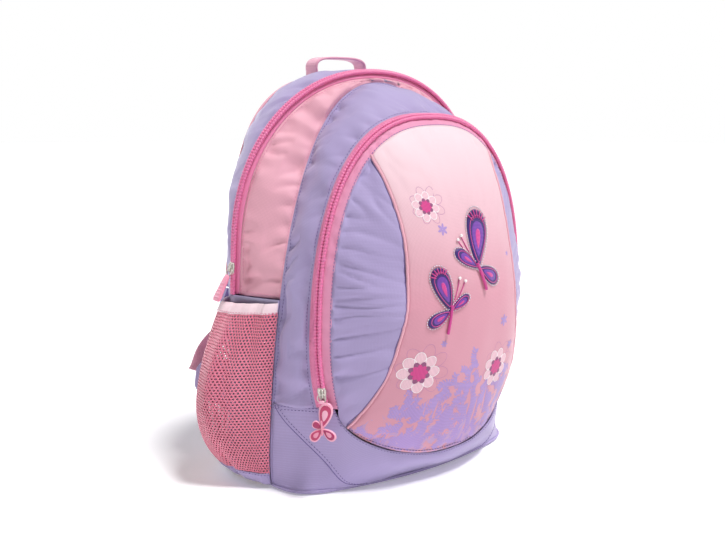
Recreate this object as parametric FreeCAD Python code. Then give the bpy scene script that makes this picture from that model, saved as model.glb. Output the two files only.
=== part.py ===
import FreeCAD, Part
import math
import os

Vector = FreeCAD.Vector
os.makedirs("parts", exist_ok=True)

# A child's school backpack. Millimetres, +Z up. The front faces -Y, the wearer's back is at +Y and +X is
# to the right of someone who looks at the front. The origin is on the floor, under the middle of the base.

# ---------------------------------------------------------------- driving dimensions
bag_height = 401.0          # floor to the top of the main zip
bag_half_width = 158.0      # middle to the main zip, where the bag is widest
back_depth = 70.0           # origin to the rear seam
fold_height = 200.0         # where the front bends when the bag is opened
fold_depth = -35.0          # line that the front folds about
open_angle = 25.0           # how far the front folds
pocket_bulge = 71.0         # how far the packed front pocket stands out of its zip
pocket_top = bag_height - 44.0       # top of the front pocket's zip
pocket_half_width = bag_half_width - 27.0    # half the front pocket's width at its zip
shell = 2.4                 # padded fabric wall
seam_gap = 0.4              # clearance between two panels that meet at a seam
panel_gap = 1.2             # clearance between the domed pocket face and its zip tape
fold_gap = 0.6              # clearance between the panels above and below the fold

coil_width = 5.0            # zip coil, both halves
coil_thick = 2.2
coil_lift = 0.7             # how far the coil stands proud of the panels
tape_thick = 1.2
main_tape_rear = 9.0        # main zip, middle to the edge of the rear tape
main_tape_front = 6.5       # main zip, middle to the edge of the front tape
pocket_tape_outer = 11.0    # pocket zip, middle to the outer edge of its tape
pocket_tape_inner = 12.0    # pocket zip, middle to the inner edge of its tape

base_thick = 3.0
board_thick = 2.0
base_corner = bag_half_width - 12.0  # half width of the base at its front corners
base_front = -62.0          # depth of the base's front corners
base_bow = 18.0             # how far the base's front edge bows forward in the middle
yoke_top = 88.0             # where the front band meets the lower yoke
pocket_floor = 31.0         # lowest point of the front pocket's bottom seam

mesh_thick = 1.6            # side pocket mesh
mesh_top = 184.0            # mouth of the side pockets at the front
mesh_top_rear = 176.0       # mouth of the side pockets at the back
mesh_full = 83.0            # height where a side pocket is fullest
mesh_bulge = 58.0           # how far it stands out there
mesh_mouth = 34.0           # how far its mouth stands out
mesh_foot = 11.0            # how far its bottom edge stands out
binding_high = 11.0
binding_thick = 2.6

back_panel_thick = 3.0
foam_thick = 8.0
pad_thick = 9.0
pad_width = 84.0
pad_low = 96.0
pad_high = bag_height - 83.0
pad_gap = 26.0              # channel between the two back pads

strap_width = 54.0          # padded shoulder strap
strap_thick = 9.0
strap_top = bag_height - 29.0
lock_width = 34.0           # ladder lock
lock_high = 26.0
lock_thick = 5.0
lock_clear = 1.8            # gap between the strap's end and the ladder lock
web_clear = 9.0             # gap between the ladder lock and the lower webbing
web_width = 25.0
web_thick = 1.8
tab_low = 52.0              # triangular tab that holds the lower webbing
tab_high = 104.0
tab_thick = 3.0

handle_span = 66.0
handle_rise = 12.0
handle_width = 20.0
handle_thick = 3.0
handle_foot = 6.0           # height of the handle's hinge line above the bag's top
handle_clear = 3.6          # room that the handle's feet turn in

slider_long = 13.0
slider_wide = 9.0
slider_plate = 1.2
slider_clear = 0.9          # clearance between a zip slider and its coil
main_pull_lean = 30.0       # the main zip's puller leans out over the side pocket's mouth

across_count = 41           # sections in each panel that goes over the top

# A seam line runs up one side, over the top and down the other side. power says how square its shoulders
# are, knee is the height where they begin, taper is how much narrower it is at the base, and depth gives
# its front-to-back place as a polynomial of the height.
rear_seam = dict(half_width=bag_half_width - 27, top=bag_height - 4, power=2.8, knee=196.0, taper=-9.0,
                 depth=(back_depth, 0.0, 0.0))
main_zip = dict(half_width=bag_half_width, top=bag_height, power=2.15, knee=240.0, taper=11.0,
                depth=(40.0, -29.0, -7.6))
gusset_seam = dict(half_width=bag_half_width - 7, top=bag_height - 10, power=2.08, knee=41.0, taper=4.0,
                   depth=(-22.0, -43.0, 61.0))
pocket_zip = dict(half_width=pocket_half_width, top=pocket_top, power=2.47, knee=155.0, taper=55.0,
                  depth=(-75.0, -8.0, 2.3))


# ---------------------------------------------------------------- shape of the bag
def half_width_at(seam, z):
    if z >= seam["knee"]:
        rise = min((z - seam["knee"]) / (seam["top"] - seam["knee"]), 1.0)
        return seam["half_width"] * (1 - rise ** seam["power"]) ** (1 / seam["power"])
    return seam["half_width"] - seam["taper"] * ((seam["knee"] - z) / seam["knee"]) ** 2


def depth_at(seam, z):
    up = z / seam["top"]
    y0, y1, y2 = seam["depth"]
    return y0 + y1 * up + y2 * up * up


def inset(seam, distance):
    """The same seam line, moved in by a distance all round."""
    moved = dict(seam)
    moved["half_width"] = seam["half_width"] - distance
    moved["top"] = seam["top"] - distance
    return moved


def pocket_face(x, z):
    """Depth of the packed front pocket's outer face, which is domed inside its zip."""
    across = min(abs(x) / max(half_width_at(pocket_zip, z), 1.0), 1.0)
    up = (z - 0.47 * pocket_top) / (0.55 * pocket_top)
    crown = (1 - across ** 2.5) * max(1 - up * up, 0.0)
    return depth_at(pocket_zip, z) - pocket_bulge * crown


def spread(points, count):
    """count points evenly spaced along a line of points."""
    lengths = [0.0]
    for a, b in zip(points, points[1:]):
        lengths.append(lengths[-1] + a.distanceToPoint(b))
    even = []
    k = 0
    for i in range(count):
        want = lengths[-1] * i / (count - 1)
        while k < len(points) - 2 and lengths[k + 1] < want:
            k += 1
        share = (want - lengths[k]) / (lengths[k + 1] - lengths[k])
        even.append(points[k] + (points[k + 1] - points[k]) * share)
    return even


def arch_outline(seam, z_low):
    """Fine line of (x, z) pairs, from z_low on the left, over the top, to z_low on the right."""
    steps = 60
    left = []
    knee = max(seam["knee"], z_low)
    if z_low < seam["knee"]:
        for i in range(steps):
            z = z_low + (knee - z_low) * i / steps
            left.append((-half_width_at(seam, z), z))
    start = math.asin(((knee - seam["knee"]) / (seam["top"] - seam["knee"])) ** (seam["power"] / 2))
    for i in range(steps):
        turn = start + (math.pi / 2 - start) * i / steps
        rise = math.sin(turn) ** (2 / seam["power"])
        x = seam["half_width"] * math.cos(turn) ** (2 / seam["power"])
        left.append((-x, seam["knee"] + (seam["top"] - seam["knee"]) * rise))
    right = [(-x, z) for x, z in reversed(left)]
    return left + [(0.0, seam["top"])] + right


def over_rail(seam, z_low, count, face=None):
    """Points on a seam line that goes over the top of the bag."""
    line = []
    for x, z in arch_outline(seam, z_low):
        y = face(x, z) if face else depth_at(seam, z)
        line.append(Vector(x, y, z))
    return spread(line, count)


def side_rail(seam, side, z_low, z_high, count, face=None):
    """Points on a seam line up one side of the bag, side being -1 at the left and 1 at the right."""
    line = []
    for i in range(count):
        z = z_low + (z_high - z_low) * i / (count - 1)
        x = side * half_width_at(seam, z)
        line.append(Vector(x, face(x, z) if face else depth_at(seam, z), z))
    return line


def towards(rail_a, rail_b, distance):
    """A rail at a distance from rail_a, on the way to rail_b."""
    return [a + (b - a).normalize() * distance for a, b in zip(rail_a, rail_b)]


def between(rail_a, rail_b, share, swell, side=1):
    """A rail part of the way from rail_a to rail_b, pushed out of the bag by swell."""
    mid = [a + (b - a) * share for a, b in zip(rail_a, rail_b)]
    across = [b - a for a, b in zip(rail_a, rail_b)]
    return [m + n * swell for m, n in zip(mid, outward(mid, across, side))]


def outward(rail, across, side):
    """Unit vectors out of the bag along a rail. side is 1 where the rail starts at the left."""
    normals = []
    last = len(rail) - 1
    for i, step in enumerate(across):
        along = rail[min(i + 1, last)] - rail[max(i - 1, 0)]
        normals.append(step.cross(along).normalize() * side)
    return normals


def rail_normals(rails, side=1):
    last = len(rails) - 1
    normals = []
    for k, rail in enumerate(rails):
        across = [b - a for a, b in zip(rails[max(k - 1, 0)], rails[min(k + 1, last)])]
        normals.append(outward(rail, across, side))
    return normals


def strip(rails, normals, first, last, thick, lift=0.0, start_gap=seam_gap / 2, end_gap=seam_gap / 2):
    """Solid wall between two rails, with its outer face lifted off them and its thickness inwards."""
    wires = []
    for i in range(len(rails[0])):
        outer = []
        for k in range(first, last + 1):
            outer.append(rails[k][i] + normals[k][i] * lift)
        across_start = (rails[first + 1][i] - rails[first][i]).normalize()
        across_end = (rails[last][i] - rails[last - 1][i]).normalize()
        outer[0] = outer[0] + across_start * start_gap
        outer[-1] = outer[-1] - across_end * end_gap
        inner = [point - normals[first + k][i] * thick for k, point in enumerate(outer)]
        loop = outer + inner[::-1]
        if i in (0, len(rails[0]) - 1):
            loop = [Vector(p.x, p.y, rails[0][i].z) for p in loop]
        wires.append(Part.makePolygon(loop + [loop[0]]))
    return Part.makeLoft(wires, True, False)


def pocket_edge(distance, z_low, count, side=0):
    """Rail on the pocket's face, inside the pocket zip. side 0 goes over the top."""
    seam = inset(pocket_zip, distance * 0.75)
    if side:
        return side_rail(seam, side, z_low, fold_height, count, pocket_face)
    return over_rail(seam, z_low, count, pocket_face)


def body_rails(seams, pocket_rails, side=1):
    """All the rails of the shell, from the rear seam forward to the inner edge of the pocket zip."""
    rear, zip_line, gusset, pocket = seams
    rails = [rear]
    rails.append(between(rear, zip_line, 0.33, 5.0, side))
    rails.append(between(rear, zip_line, 0.67, 4.0, side))
    rails.append(towards(zip_line, rear, main_tape_rear))
    rails.append(towards(zip_line, rear, coil_width / 2))
    rails.append(towards(zip_line, gusset, coil_width / 2))
    rails.append(towards(zip_line, gusset, main_tape_front))
    rails.append(between(rails[-1], gusset, 0.5, 2.0, side))
    rails.append(gusset)
    outer_tape = towards(pocket, gusset, pocket_tape_outer)
    rails.append(between(gusset, outer_tape, 0.33, 4.0, side))
    rails.append(between(gusset, outer_tape, 0.67, 4.0, side))
    rails.append(outer_tape)
    rails.append(towards(pocket, gusset, coil_width / 2))
    return rails + pocket_rails


# names of the rails that bound a panel
REAR, REAR_TAPE, REAR_COIL, FRONT_COIL, FRONT_TAPE, GUSSET = 0, 3, 4, 5, 6, 8
OUTER_TAPE, OUTER_COIL, INNER_COIL, INNER_TAPE = 11, 12, 13, 14


def upper_skin():
    n = across_count
    seams = [over_rail(s, fold_height, n) for s in (rear_seam, main_zip, gusset_seam, pocket_zip)]
    pocket_rails = [pocket_edge(d, fold_height, n) for d in (coil_width / 2, pocket_tape_inner)]
    rails = body_rails(seams, pocket_rails)
    return rails, rail_normals(rails)


def side_skin(side, z_low):
    n = 9
    seams = [side_rail(s, side, z_low, fold_height, n)
             for s in (rear_seam, main_zip, gusset_seam, pocket_zip)]
    pocket_rails = [pocket_edge(d, z_low, n, side) for d in (coil_width / 2, pocket_tape_inner)]
    rails = body_rails(seams, pocket_rails, -side)
    return rails, rail_normals(rails, -side)


# ---------------------------------------------------------------- the fold
far = 600.0
half_fold = math.tan(math.radians(open_angle / 2 + 1))


def fold_space(above):
    """All the space above or below the fold. In front of the fold line it leaves room to bend."""
    way = 1 if above else -1
    level = fold_height + way * fold_gap / 2
    reach = far + fold_depth
    outline = [(far, level), (fold_depth, level), (-far, level + way * reach * half_fold),
               (-far, way * far * 2), (far, way * far * 2)]
    points = [Vector(-far, y, z) for y, z in outline]
    face = Part.Face(Part.makePolygon(points + [points[0]]))
    return face.extrude(Vector(2 * far, 0, 0))


def fold_wedge():
    """The space in front of the fold line that the soft front crumples into."""
    tip = fold_depth - 4.0
    rise = (far + tip) * half_fold
    points = [Vector(-far, tip, fold_height), Vector(-far, -far, fold_height + rise),
              Vector(-far, -far, fold_height - rise)]
    face = Part.Face(Part.makePolygon(points + [points[0]]))
    return face.extrude(Vector(2 * far, 0, 0))


above_fold = fold_space(True)
below_fold = fold_space(False)
in_fold = fold_wedge()


def prism_y(outline, y_low, y_high):
    """Solid between two depths, from an outline of (x, z) pairs."""
    points = [Vector(x, y_low, z) for x, z in outline]
    face = Part.Face(Part.makePolygon(points + [points[0]]))
    return face.extrude(Vector(0, y_high - y_low, 0))


def smooth_prism_y(curves, y_low, y_high):
    """Solid between two depths, from smooth curves of (x, z) pairs that join end to end."""
    edges = []
    for curve in curves:
        points = [Vector(x, y_low, z) for x, z in curve]
        if len(points) == 2:
            edges.append(Part.LineSegment(points[0], points[1]).toShape())
        else:
            spline = Part.BSplineCurve()
            spline.interpolate(points)
            edges.append(spline.toShape())
    face = Part.Face(Part.Wire(edges))
    return face.extrude(Vector(0, y_high - y_low, 0))


# ---------------------------------------------------------------- back
def arch_curve(seam, z_low, count):
    line = [Vector(x, 0, z) for x, z in arch_outline(seam, z_low)]
    return [(p.x, p.z) for p in spread(line, count)]


def back_plate(distance, y_low, y_high):
    """Plate with the outline of the rear seam, moved in by a distance."""
    low = base_thick + seam_gap
    arch = arch_curve(inset(rear_seam, distance), low, 33)
    return smooth_prism_y([arch, [arch[-1], arch[0]]], y_low, y_high)


def rounded_pad(x, z_low, z_high, width, y_low, thick, corner, edge):
    block = Part.makeBox(width, thick, z_high - z_low, Vector(x - width / 2, y_low, z_low))
    upright = [e for e in block.Edges if abs(e.tangentAt(e.FirstParameter).y) > 0.9]
    block = block.makeFillet(corner, upright)
    rim = [e for e in block.Edges if all(v.Point.y > y_low + thick - 0.01 for v in e.Vertexes)]
    return block.makeFillet(edge, rim)


def back_pad(side):
    centre = side * (pad_gap + pad_width) / 2
    return rounded_pad(centre, pad_low, pad_high, pad_width, back_depth + seam_gap, pad_thick, 22.0, 5.0)


def lumbar_pad():
    width = 2 * pad_width + pad_gap
    top = pad_low - 12.0
    return rounded_pad(0.0, 22.0, top, width, back_depth + seam_gap, pad_thick, 20.0, 5.0)


# ---------------------------------------------------------------- base
def base_outline(distance):
    """Curves round the base in plan, moved in by a distance."""
    corner = base_corner - distance
    rear_x = half_width_at(rear_seam, 0) - distance
    front = []
    for i in range(13):
        x = -corner + 2 * corner * i / 12
        bow = base_bow * (1 - (x / corner) ** 2)
        front.append((x, base_front + distance - bow))
    rear_y = back_depth - distance
    return [front, [front[-1], (rear_x, rear_y)], [(rear_x, rear_y), (-rear_x, rear_y)],
            [(-rear_x, rear_y), front[0]]]


def base_plate(distance, z_low, z_high, corner_radius):
    edges = []
    for curve in base_outline(distance):
        points = [Vector(x, y, z_low) for x, y in curve]
        if len(points) == 2:
            edges.append(Part.LineSegment(points[0], points[1]).toShape())
        else:
            spline = Part.BSplineCurve()
            spline.interpolate(points)
            edges.append(spline.toShape())
    plate = Part.Face(Part.Wire(edges)).extrude(Vector(0, 0, z_high - z_low))
    upright = [e for e in plate.Edges if abs(e.tangentAt(e.FirstParameter).z) > 0.9]
    return plate.makeFillet(corner_radius, upright)


# ---------------------------------------------------------------- yoke
def front_face(x, z):
    """Depth of the lower front. It curves in from the pocket's bottom seam to the base's front edge."""
    level = max(z, pocket_seam_height(x))
    corner = base_corner - 1.0
    foot = base_front - base_bow * (1 - min(abs(x) / corner, 1.0) ** 2)
    if z >= level:
        return pocket_face(x, z)
    turn = math.sin(math.pi / 2 * z / level)
    return foot + (pocket_face(x, level) - foot) * turn


def pocket_foot():
    """Half width of the pocket where its bottom seam meets the zip's lower ends."""
    return half_width_at(inset(pocket_zip, pocket_tape_inner * 0.75), yoke_top)


def pocket_seam_height(x):
    share = min(abs(x) / pocket_foot(), 1.0)
    return yoke_top - (yoke_top - pocket_floor) * (1 - share ** 1.9) ** (1 / 1.9)


def pocket_bottom(count, drop=0.0):
    """The pocket's bottom seam, from right to left, as (x, z) pairs."""
    curve = []
    half = pocket_foot()
    for i in range(count):
        turn = math.pi * i / (count - 1)
        x = half * math.copysign(abs(math.cos(turn)) ** (2 / 1.9), math.cos(turn))
        curve.append((x, pocket_seam_height(x) - drop))
    curve[0] = (half, yoke_top - drop)
    curve[-1] = (-half, yoke_top - drop)
    return curve


def yoke_slice(z, side_count, front_count):
    """Outer line of one level of the yoke, from the left gusset seam round the front to the right."""
    half = []
    a = Vector(-half_width_at(gusset_seam, z), depth_at(gusset_seam, z), z)
    b = Vector(-half_width_at(pocket_zip, z) - 2.0, depth_at(pocket_zip, z) + 6.0, z)
    corner_share = (1 - z / yoke_top) ** 2
    corner = Vector(-base_corner + 1.0, base_front + 4.0, z)
    b = b + (corner - b) * corner_share
    for i in range(side_count):
        share = i / side_count
        swell = 4.0 * math.sin(math.pi * share)
        half.append(a + (b - a) * share + Vector(-swell, -swell / 2, 0))
    for i in range(front_count):
        x = b.x * (1 - i / front_count) * 0.985
        y = front_face(x, z)
        half.append(Vector(x, y, z))
    middle = Vector(0, front_face(0.0, z), z)
    line = half + [middle] + [Vector(-p.x, p.y, p.z) for p in reversed(half)]
    for turn in range(4):
        inside = [(p + q * 2 + r) * 0.25 for p, q, r in zip(line, line[1:], line[2:])]
        line = [line[0]] + inside + [line[-1]]
    return line


def plan_normals(line):
    normals = []
    last = len(line) - 1
    for i in range(len(line)):
        step = line[min(i + 1, last)] - line[max(i - 1, 0)]
        normals.append(Vector(step.y, -step.x, 0).normalize())
    return normals


def front_yoke():
    wires = []
    levels = 9
    low = base_thick + seam_gap
    high = yoke_top - seam_gap / 2
    for k in range(levels):
        z = low + (high - low) * k / (levels - 1)
        outer = yoke_slice(z, 6, 12)
        first = (outer[1] - outer[0]).normalize()
        outer[0] = outer[0] + first * seam_gap / 2
        outer[-1] = Vector(-outer[0].x, outer[0].y, z)
        normals = plan_normals(outer)
        inner = [p + n * shell for p, n in zip(outer, normals)]
        loop = outer + inner[::-1]
        wires.append(Part.makePolygon(loop + [loop[0]]))
    wall = Part.makeLoft(wires, True, False)
    cut_top = yoke_top + 40.0
    half = pocket_foot() + seam_gap
    bottom = pocket_bottom(25, seam_gap)
    bottom[0] = (half, yoke_top - seam_gap)
    bottom[-1] = (-half, yoke_top - seam_gap)
    opening = smooth_prism_y([bottom, [(-half, yoke_top - seam_gap), (-half, cut_top)],
                              [(-half, cut_top), (half, cut_top)],
                              [(half, cut_top), (half, yoke_top - seam_gap)]], -far, far)
    return wall.cut(opening)


# ---------------------------------------------------------------- front pocket
def print_edge(z):
    """Half width of the printed middle panel, which has a waist."""
    return 67.5 + 4.4 * ((z - 240.0) / 60.0) ** 2


def pocket_sheet():
    """The pocket's whole face as one sheet with thickness."""
    reach = pocket_half_width + 8.0
    columns = 31
    rows = 33
    low = pocket_floor - 6.0
    high = pocket_top - 0.5
    grid = []
    for i in range(columns):
        x = -reach + 2 * reach * i / (columns - 1)
        line = []
        for j in range(rows):
            z = low + (high - low) * j / (rows - 1)
            line.append(Vector(x, pocket_face(x, z), z))
        grid.append(line)
    surface = Part.BSplineSurface()
    surface.interpolate(grid)
    return surface.toShape().extrude(Vector(0, shell, 0))


def pocket_outline(distance):
    """Closed outline of the pocket's face inside its zip tape, moved in by a distance."""
    seam = inset(pocket_zip, pocket_tape_inner * 0.75 + distance)
    arch = arch_curve(seam, yoke_top, 41)
    half = arch[-1][0]
    bottom = [(x * half / pocket_foot(), z + distance) for x, z in pocket_bottom(25)]
    bottom[0] = arch[-1]
    bottom[-1] = arch[0]
    return [arch, bottom]


def print_zone(side):
    """Column of space in front of the left crescent, the printed middle or the right crescent."""
    low = pocket_floor - 20.0
    high = pocket_top + 10.0
    margin = seam_gap / 2
    edge = [low + (high - low) * i / 20 for i in range(21)]
    if side == 0:
        left = [(-print_edge(z) + margin, z) for z in edge]
        right = [(print_edge(z) - margin, z) for z in reversed(edge)]
        return smooth_prism_y([left, [left[-1], right[0]], right, [right[-1], left[0]]], -far, 0)
    line = [(side * (print_edge(z) + margin), z) for z in edge]
    out = side * 2 * pocket_half_width
    return smooth_prism_y([line, [line[-1], (out, high)], [(out, high), (out, low)],
                           [(out, low), line[0]]], -far, 0)


def divider(space):
    """Wall between the main compartment and the front pocket, sewn in along the gusset seam."""
    low = base_thick + board_thick + 2 * seam_gap
    seam = inset(gusset_seam, shell + 1.6)
    steps = 16
    front = []
    for i in range(steps + 1):
        z = low + (seam["top"] - low) * i / steps
        front.append(Vector(-far / 2, depth_at(gusset_seam, z) + 1.0, z))
    back = [p + Vector(0, 2.0, 0) for p in front]
    faces = []
    for line in (front, back[::-1]):
        spline = Part.BSplineCurve()
        spline.interpolate(line)
        faces.append(spline.toShape())
    edges = [faces[0], Part.LineSegment(front[-1], back[-1]).toShape(), faces[1],
             Part.LineSegment(back[0], front[0]).toShape()]
    sheet = Part.Face(Part.Wire(edges)).extrude(Vector(far, 0, 0))
    arch = arch_curve(seam, low, 41)
    outline = smooth_prism_y([arch, [arch[-1], arch[0]]], -far, far)
    return sheet.common(outline).common(space)


def butterfly(x, z, size, tilt):
    """Applique of four wings and a body, laid on the pocket's face."""
    wings = []
    for side in (-1, 1):
        for spread_angle, length, width in ((38, 1.0, 0.52), (128, 0.72, 0.46)):
            wings.append((side * spread_angle + tilt, size * length, size * width))
    flat = None
    for angle, length, width in wings:
        wing = Part.Ellipse(Vector(0, 0, 0), length / 2, width / 2).toShape()
        face = Part.Face(Part.Wire([wing]))
        face.translate(Vector(length / 2, 0, 0))
        face.rotate(Vector(0, 0, 0), Vector(0, 0, 1), 90 - angle)
        solid = face.extrude(Vector(0, 0, far))
        flat = solid if flat is None else flat.fuse(solid)
    flat.rotate(Vector(0, 0, 0), Vector(1, 0, 0), 90)
    flat.translate(Vector(x, 0, z))
    sheet = pocket_sheet()
    sheet.translate(Vector(0, -shell - 0.3, 0))
    return sheet.common(flat).removeSplitter()


# ---------------------------------------------------------------- side pockets
def mesh_line(side, z, offset=0.0):
    """Outer line of a side pocket at one level, from the gusset seam back to the rear seam."""
    a = Vector(side * (half_width_at(gusset_seam, z) + 1.0), depth_at(gusset_seam, z) + 2.0, z)
    b = Vector(side * (half_width_at(rear_seam, z) + 1.5), depth_at(rear_seam, z) - 1.0, z)
    if z < mesh_full:
        share = (mesh_full - z) / mesh_full
        bulge = mesh_foot + (mesh_bulge - mesh_foot) * (1 - share ** 2) ** 0.9
    else:
        share = min((z - mesh_full) / (mesh_top - mesh_full), 1.0)
        bulge = mesh_mouth + (mesh_bulge - mesh_mouth) * math.cos(math.pi / 2 * share)
    line = []
    count = 14
    for i in range(count + 1):
        share = i / count
        round_share = math.sin(math.pi * share) ** 0.75
        out = bulge * round_share + offset
        back_push = 5.0 * math.sin(math.pi * share)
        line.append(a + (b - a) * share + Vector(side * out, back_push, 0))
    return line


def mesh_wall(side, z_low, z_high, thick, offset=0.0, levels=9):
    wires = []
    for k in range(levels):
        z = z_low + (z_high - z_low) * k / (levels - 1)
        outer = mesh_line(side, z, offset)
        normals = [n * side for n in plan_normals(outer)]
        inner = [p + n * thick for p, n in zip(outer, normals)]
        loop = outer + inner[::-1]
        wires.append(Part.makePolygon(loop + [loop[0]]))
    return Part.makeLoft(wires, True, False)


def sloped_cut(solid, keep_below, drop):
    """Trim a side pocket piece along its mouth, which slopes down to the back."""
    front_y = depth_at(gusset_seam, mesh_top)
    slope = (mesh_top_rear - mesh_top) / (back_depth - front_y)
    outline = []
    for y in (-far / 2, far / 2):
        outline.append((y, mesh_top + slope * (y - front_y) - drop))
    end = -far if keep_below else far
    points = [Vector(-far, outline[0][0], outline[0][1]), Vector(-far, outline[1][0], outline[1][1]),
              Vector(-far, outline[1][0], end), Vector(-far, outline[0][0], end)]
    space = Part.Face(Part.makePolygon(points + [points[0]])).extrude(Vector(2 * far, 0, 0))
    return solid.common(space)


def side_pocket(side):
    wall = mesh_wall(side, base_thick + seam_gap, mesh_top, mesh_thick)
    return sloped_cut(wall, True, binding_high + seam_gap)


def side_pocket_binding(side):
    wall = mesh_wall(side, mesh_top - 26.0, mesh_top, binding_thick, 0.5, 5)
    return sloped_cut(sloped_cut(wall, False, binding_high), True, 0.0)


# ---------------------------------------------------------------- straps and handle
def strap_path(side):
    """Middle of a shoulder strap's front face, from its top end down."""
    back = back_depth + seam_gap
    return [Vector(side * 44.0, back + 4.0, strap_top),
            Vector(side * 47.0, back + 20.0, strap_top - 34.0),
            Vector(side * 55.0, back + 30.0, strap_top - 78.0),
            Vector(side * 68.0, back + 35.0, strap_top - 124.0),
            Vector(side * 84.0, back + 36.0, strap_top - 166.0),
            Vector(side * 101.0, back + 34.0, strap_top - 202.0)]


def path_band(path, width, thick, count):
    """Band of rectangular section along a smooth path, lying in front-to-back thickness."""
    spline = Part.BSplineCurve()
    spline.interpolate(path)
    wires = []
    for i in range(count):
        share = spline.FirstParameter + (spline.LastParameter - spline.FirstParameter) * i / (count - 1)
        centre = spline.value(share)
        run = Vector(*spline.tangent(share)[0])
        out = Vector(0, 1, 0)
        out = (out - run * out.dot(run)).normalize()
        wide = run.cross(out).normalize()
        loop = []
        for w, t in ((-0.5, 0.15), (-0.42, 0.0), (0.42, 0.0), (0.5, 0.15),
                     (0.5, 0.85), (0.42, 1.0), (-0.42, 1.0), (-0.5, 0.85)):
            loop.append(centre + wide * (w * width) + out * (t * thick))
        wires.append(Part.makePolygon(loop + [loop[0]]))
    return Part.makeLoft(wires, True, False)


def shoulder_strap(side):
    return path_band(strap_path(side), strap_width, strap_thick, 14)


def lock_frame(side):
    """Where the ladder lock is: its top middle, and the direction of the strap there."""
    path = strap_path(side)
    run = (path[-1] - path[-2]).normalize()
    return path[-1] + run * lock_clear, run


def ladder_lock(side):
    """Plastic frame with two slots for the webbing."""
    top, run = lock_frame(side)
    body = Part.makeBox(lock_width, lock_thick, lock_high, Vector(-lock_width / 2, 0, -lock_high))
    bar = 5.0
    slot_high = (lock_high - 3 * bar) / 2
    for k in range(2):
        z = -bar - slot_high - k * (slot_high + bar)
        slot = Part.makeBox(lock_width - 2 * bar, 3 * lock_thick, slot_high,
                            Vector(bar - lock_width / 2, -lock_thick, z))
        body = body.cut(slot)
    lean = math.degrees(math.atan2(run.x, -run.z))
    pitch = math.degrees(math.atan2(run.y, math.hypot(run.x, run.z)))
    body.rotate(Vector(0, 0, 0), Vector(1, 0, 0), pitch)
    body.rotate(Vector(0, 0, 0), Vector(0, 1, 0), -lean)
    body.translate(top + Vector(0, 1.5, 0))
    return body


def tab_point(side):
    """Where the lower webbing leaves its tab."""
    return Vector(side * (base_corner + 12.0), back_depth + 30.0, 92.0)


def lower_webbing(side):
    top, run = lock_frame(side)
    start = top + run * (lock_high + web_clear) + Vector(0, 1.5, 0)
    end = tab_point(side)
    middle = start + (end - start) * 0.55 + Vector(0, 9.0, 2.0)
    return path_band([start, middle, end], web_width, web_thick, 7)


def strap_tab(side):
    """Triangle of folded fabric sewn into the rear seam, which holds the lower webbing."""
    tip = tab_point(side)
    root_x = side * (half_width_at(rear_seam, 80.0) + 2.4)
    root_y = back_depth + 2 * seam_gap
    way = (Vector(tip.x, tip.y, 0) - Vector(root_x, root_y, 0)).normalize()
    out = Vector(tip.x, tip.y, 0) - way * 4.0
    points = [Vector(root_x, root_y, tab_low), Vector(out.x, out.y, tip.z - web_width - 2.0),
              Vector(out.x, out.y, tip.z - web_width / 2), Vector(root_x, root_y, tab_high)]
    face = Part.Face(Part.makePolygon(points + [points[0]]))
    return face.extrude(way.cross(Vector(0, 0, 1)) * tab_thick * -side)


def strap_anchor():
    """Reinforced patch on the back that the straps' upper ends are sewn to."""
    low = pad_high + 8.0
    high = strap_top + 4.0
    patch = rounded_pad(0.0, low, high, 150.0, back_depth + seam_gap, 2.4, 6.0, 0.8)
    return patch


def grab_handle():
    """Webbing loop over the top of the bag."""
    base = bag_height + handle_foot
    loops = []
    for inner in (0.0, handle_thick):
        half = handle_span / 2 - inner
        rise = handle_rise - inner
        curve = []
        for i in range(25):
            turn = math.pi * i / 24
            x = -half * math.copysign(abs(math.cos(turn)) ** 0.6, math.cos(turn))
            z = base + rise * math.sin(turn) ** 0.6
            curve.append(Vector(x, back_depth - 4.0, z))
        loops.append(curve)
    outer, inner = loops
    edges = []
    for line in (outer, inner[::-1]):
        spline = Part.BSplineCurve()
        spline.interpolate(line)
        edges.append(spline.toShape())
    edges.append(Part.LineSegment(outer[-1], inner[-1]).toShape())
    edges.append(Part.LineSegment(inner[0], outer[0]).toShape())
    face = Part.Face(Part.Wire(Part.__sortEdges__(edges)))
    loop = face.extrude(Vector(0, handle_width, 0))
    loop.translate(Vector(0, -handle_width / 2, 0))
    return loop


def handle_anchor():
    """The handle's sewn ends, standing out of the bag's top seam."""
    stubs = []
    foot = half_top_at(handle_span / 2) + 4.0
    high = bag_height + handle_foot - handle_clear - foot
    for side in (-1, 1):
        x = side * (handle_span / 2 - handle_thick / 2)
        stub = Part.makeBox(handle_thick, handle_width / 2, high,
                            Vector(x - handle_thick / 2, back_depth - 4.0 - handle_width / 4, foot))
        stubs.append(stub)
    return Part.makeCompound(stubs)


def half_top_at(x):
    """Height of the rear seam's arch at a distance from the middle."""
    share = min(abs(x) / rear_seam["half_width"], 1.0)
    rise = (1 - share ** rear_seam["power"]) ** (1 / rear_seam["power"])
    return rear_seam["knee"] + (rear_seam["top"] - rear_seam["knee"]) * rise


# ---------------------------------------------------------------- zip sliders and pullers
def slider_frame(seam, side, z, outer):
    """Point on the zip's coil, the way out of the bag there and the way along the zip."""
    x = side * half_width_at(seam, z)
    here = Vector(x, depth_at(seam, z), z)
    ahead = Vector(side * half_width_at(seam, z + 30.0), depth_at(seam, z + 30.0), z + 30.0)
    along = (ahead - here).normalize()
    way = Vector(outer[0], outer[1], 0)
    way = (way - along * way.dot(along)).normalize()
    return here, way, along


def place(shape, origin, out, along):
    """Move a shape built with +Y out of the bag and +Z along the zip."""
    wide = out.cross(along)
    matrix = FreeCAD.Matrix(wide.x, out.x, along.x, origin.x,
                            wide.y, out.y, along.y, origin.y,
                            wide.z, out.z, along.z, origin.z, 0, 0, 0, 1)
    return shape.transformGeometry(matrix)


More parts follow.
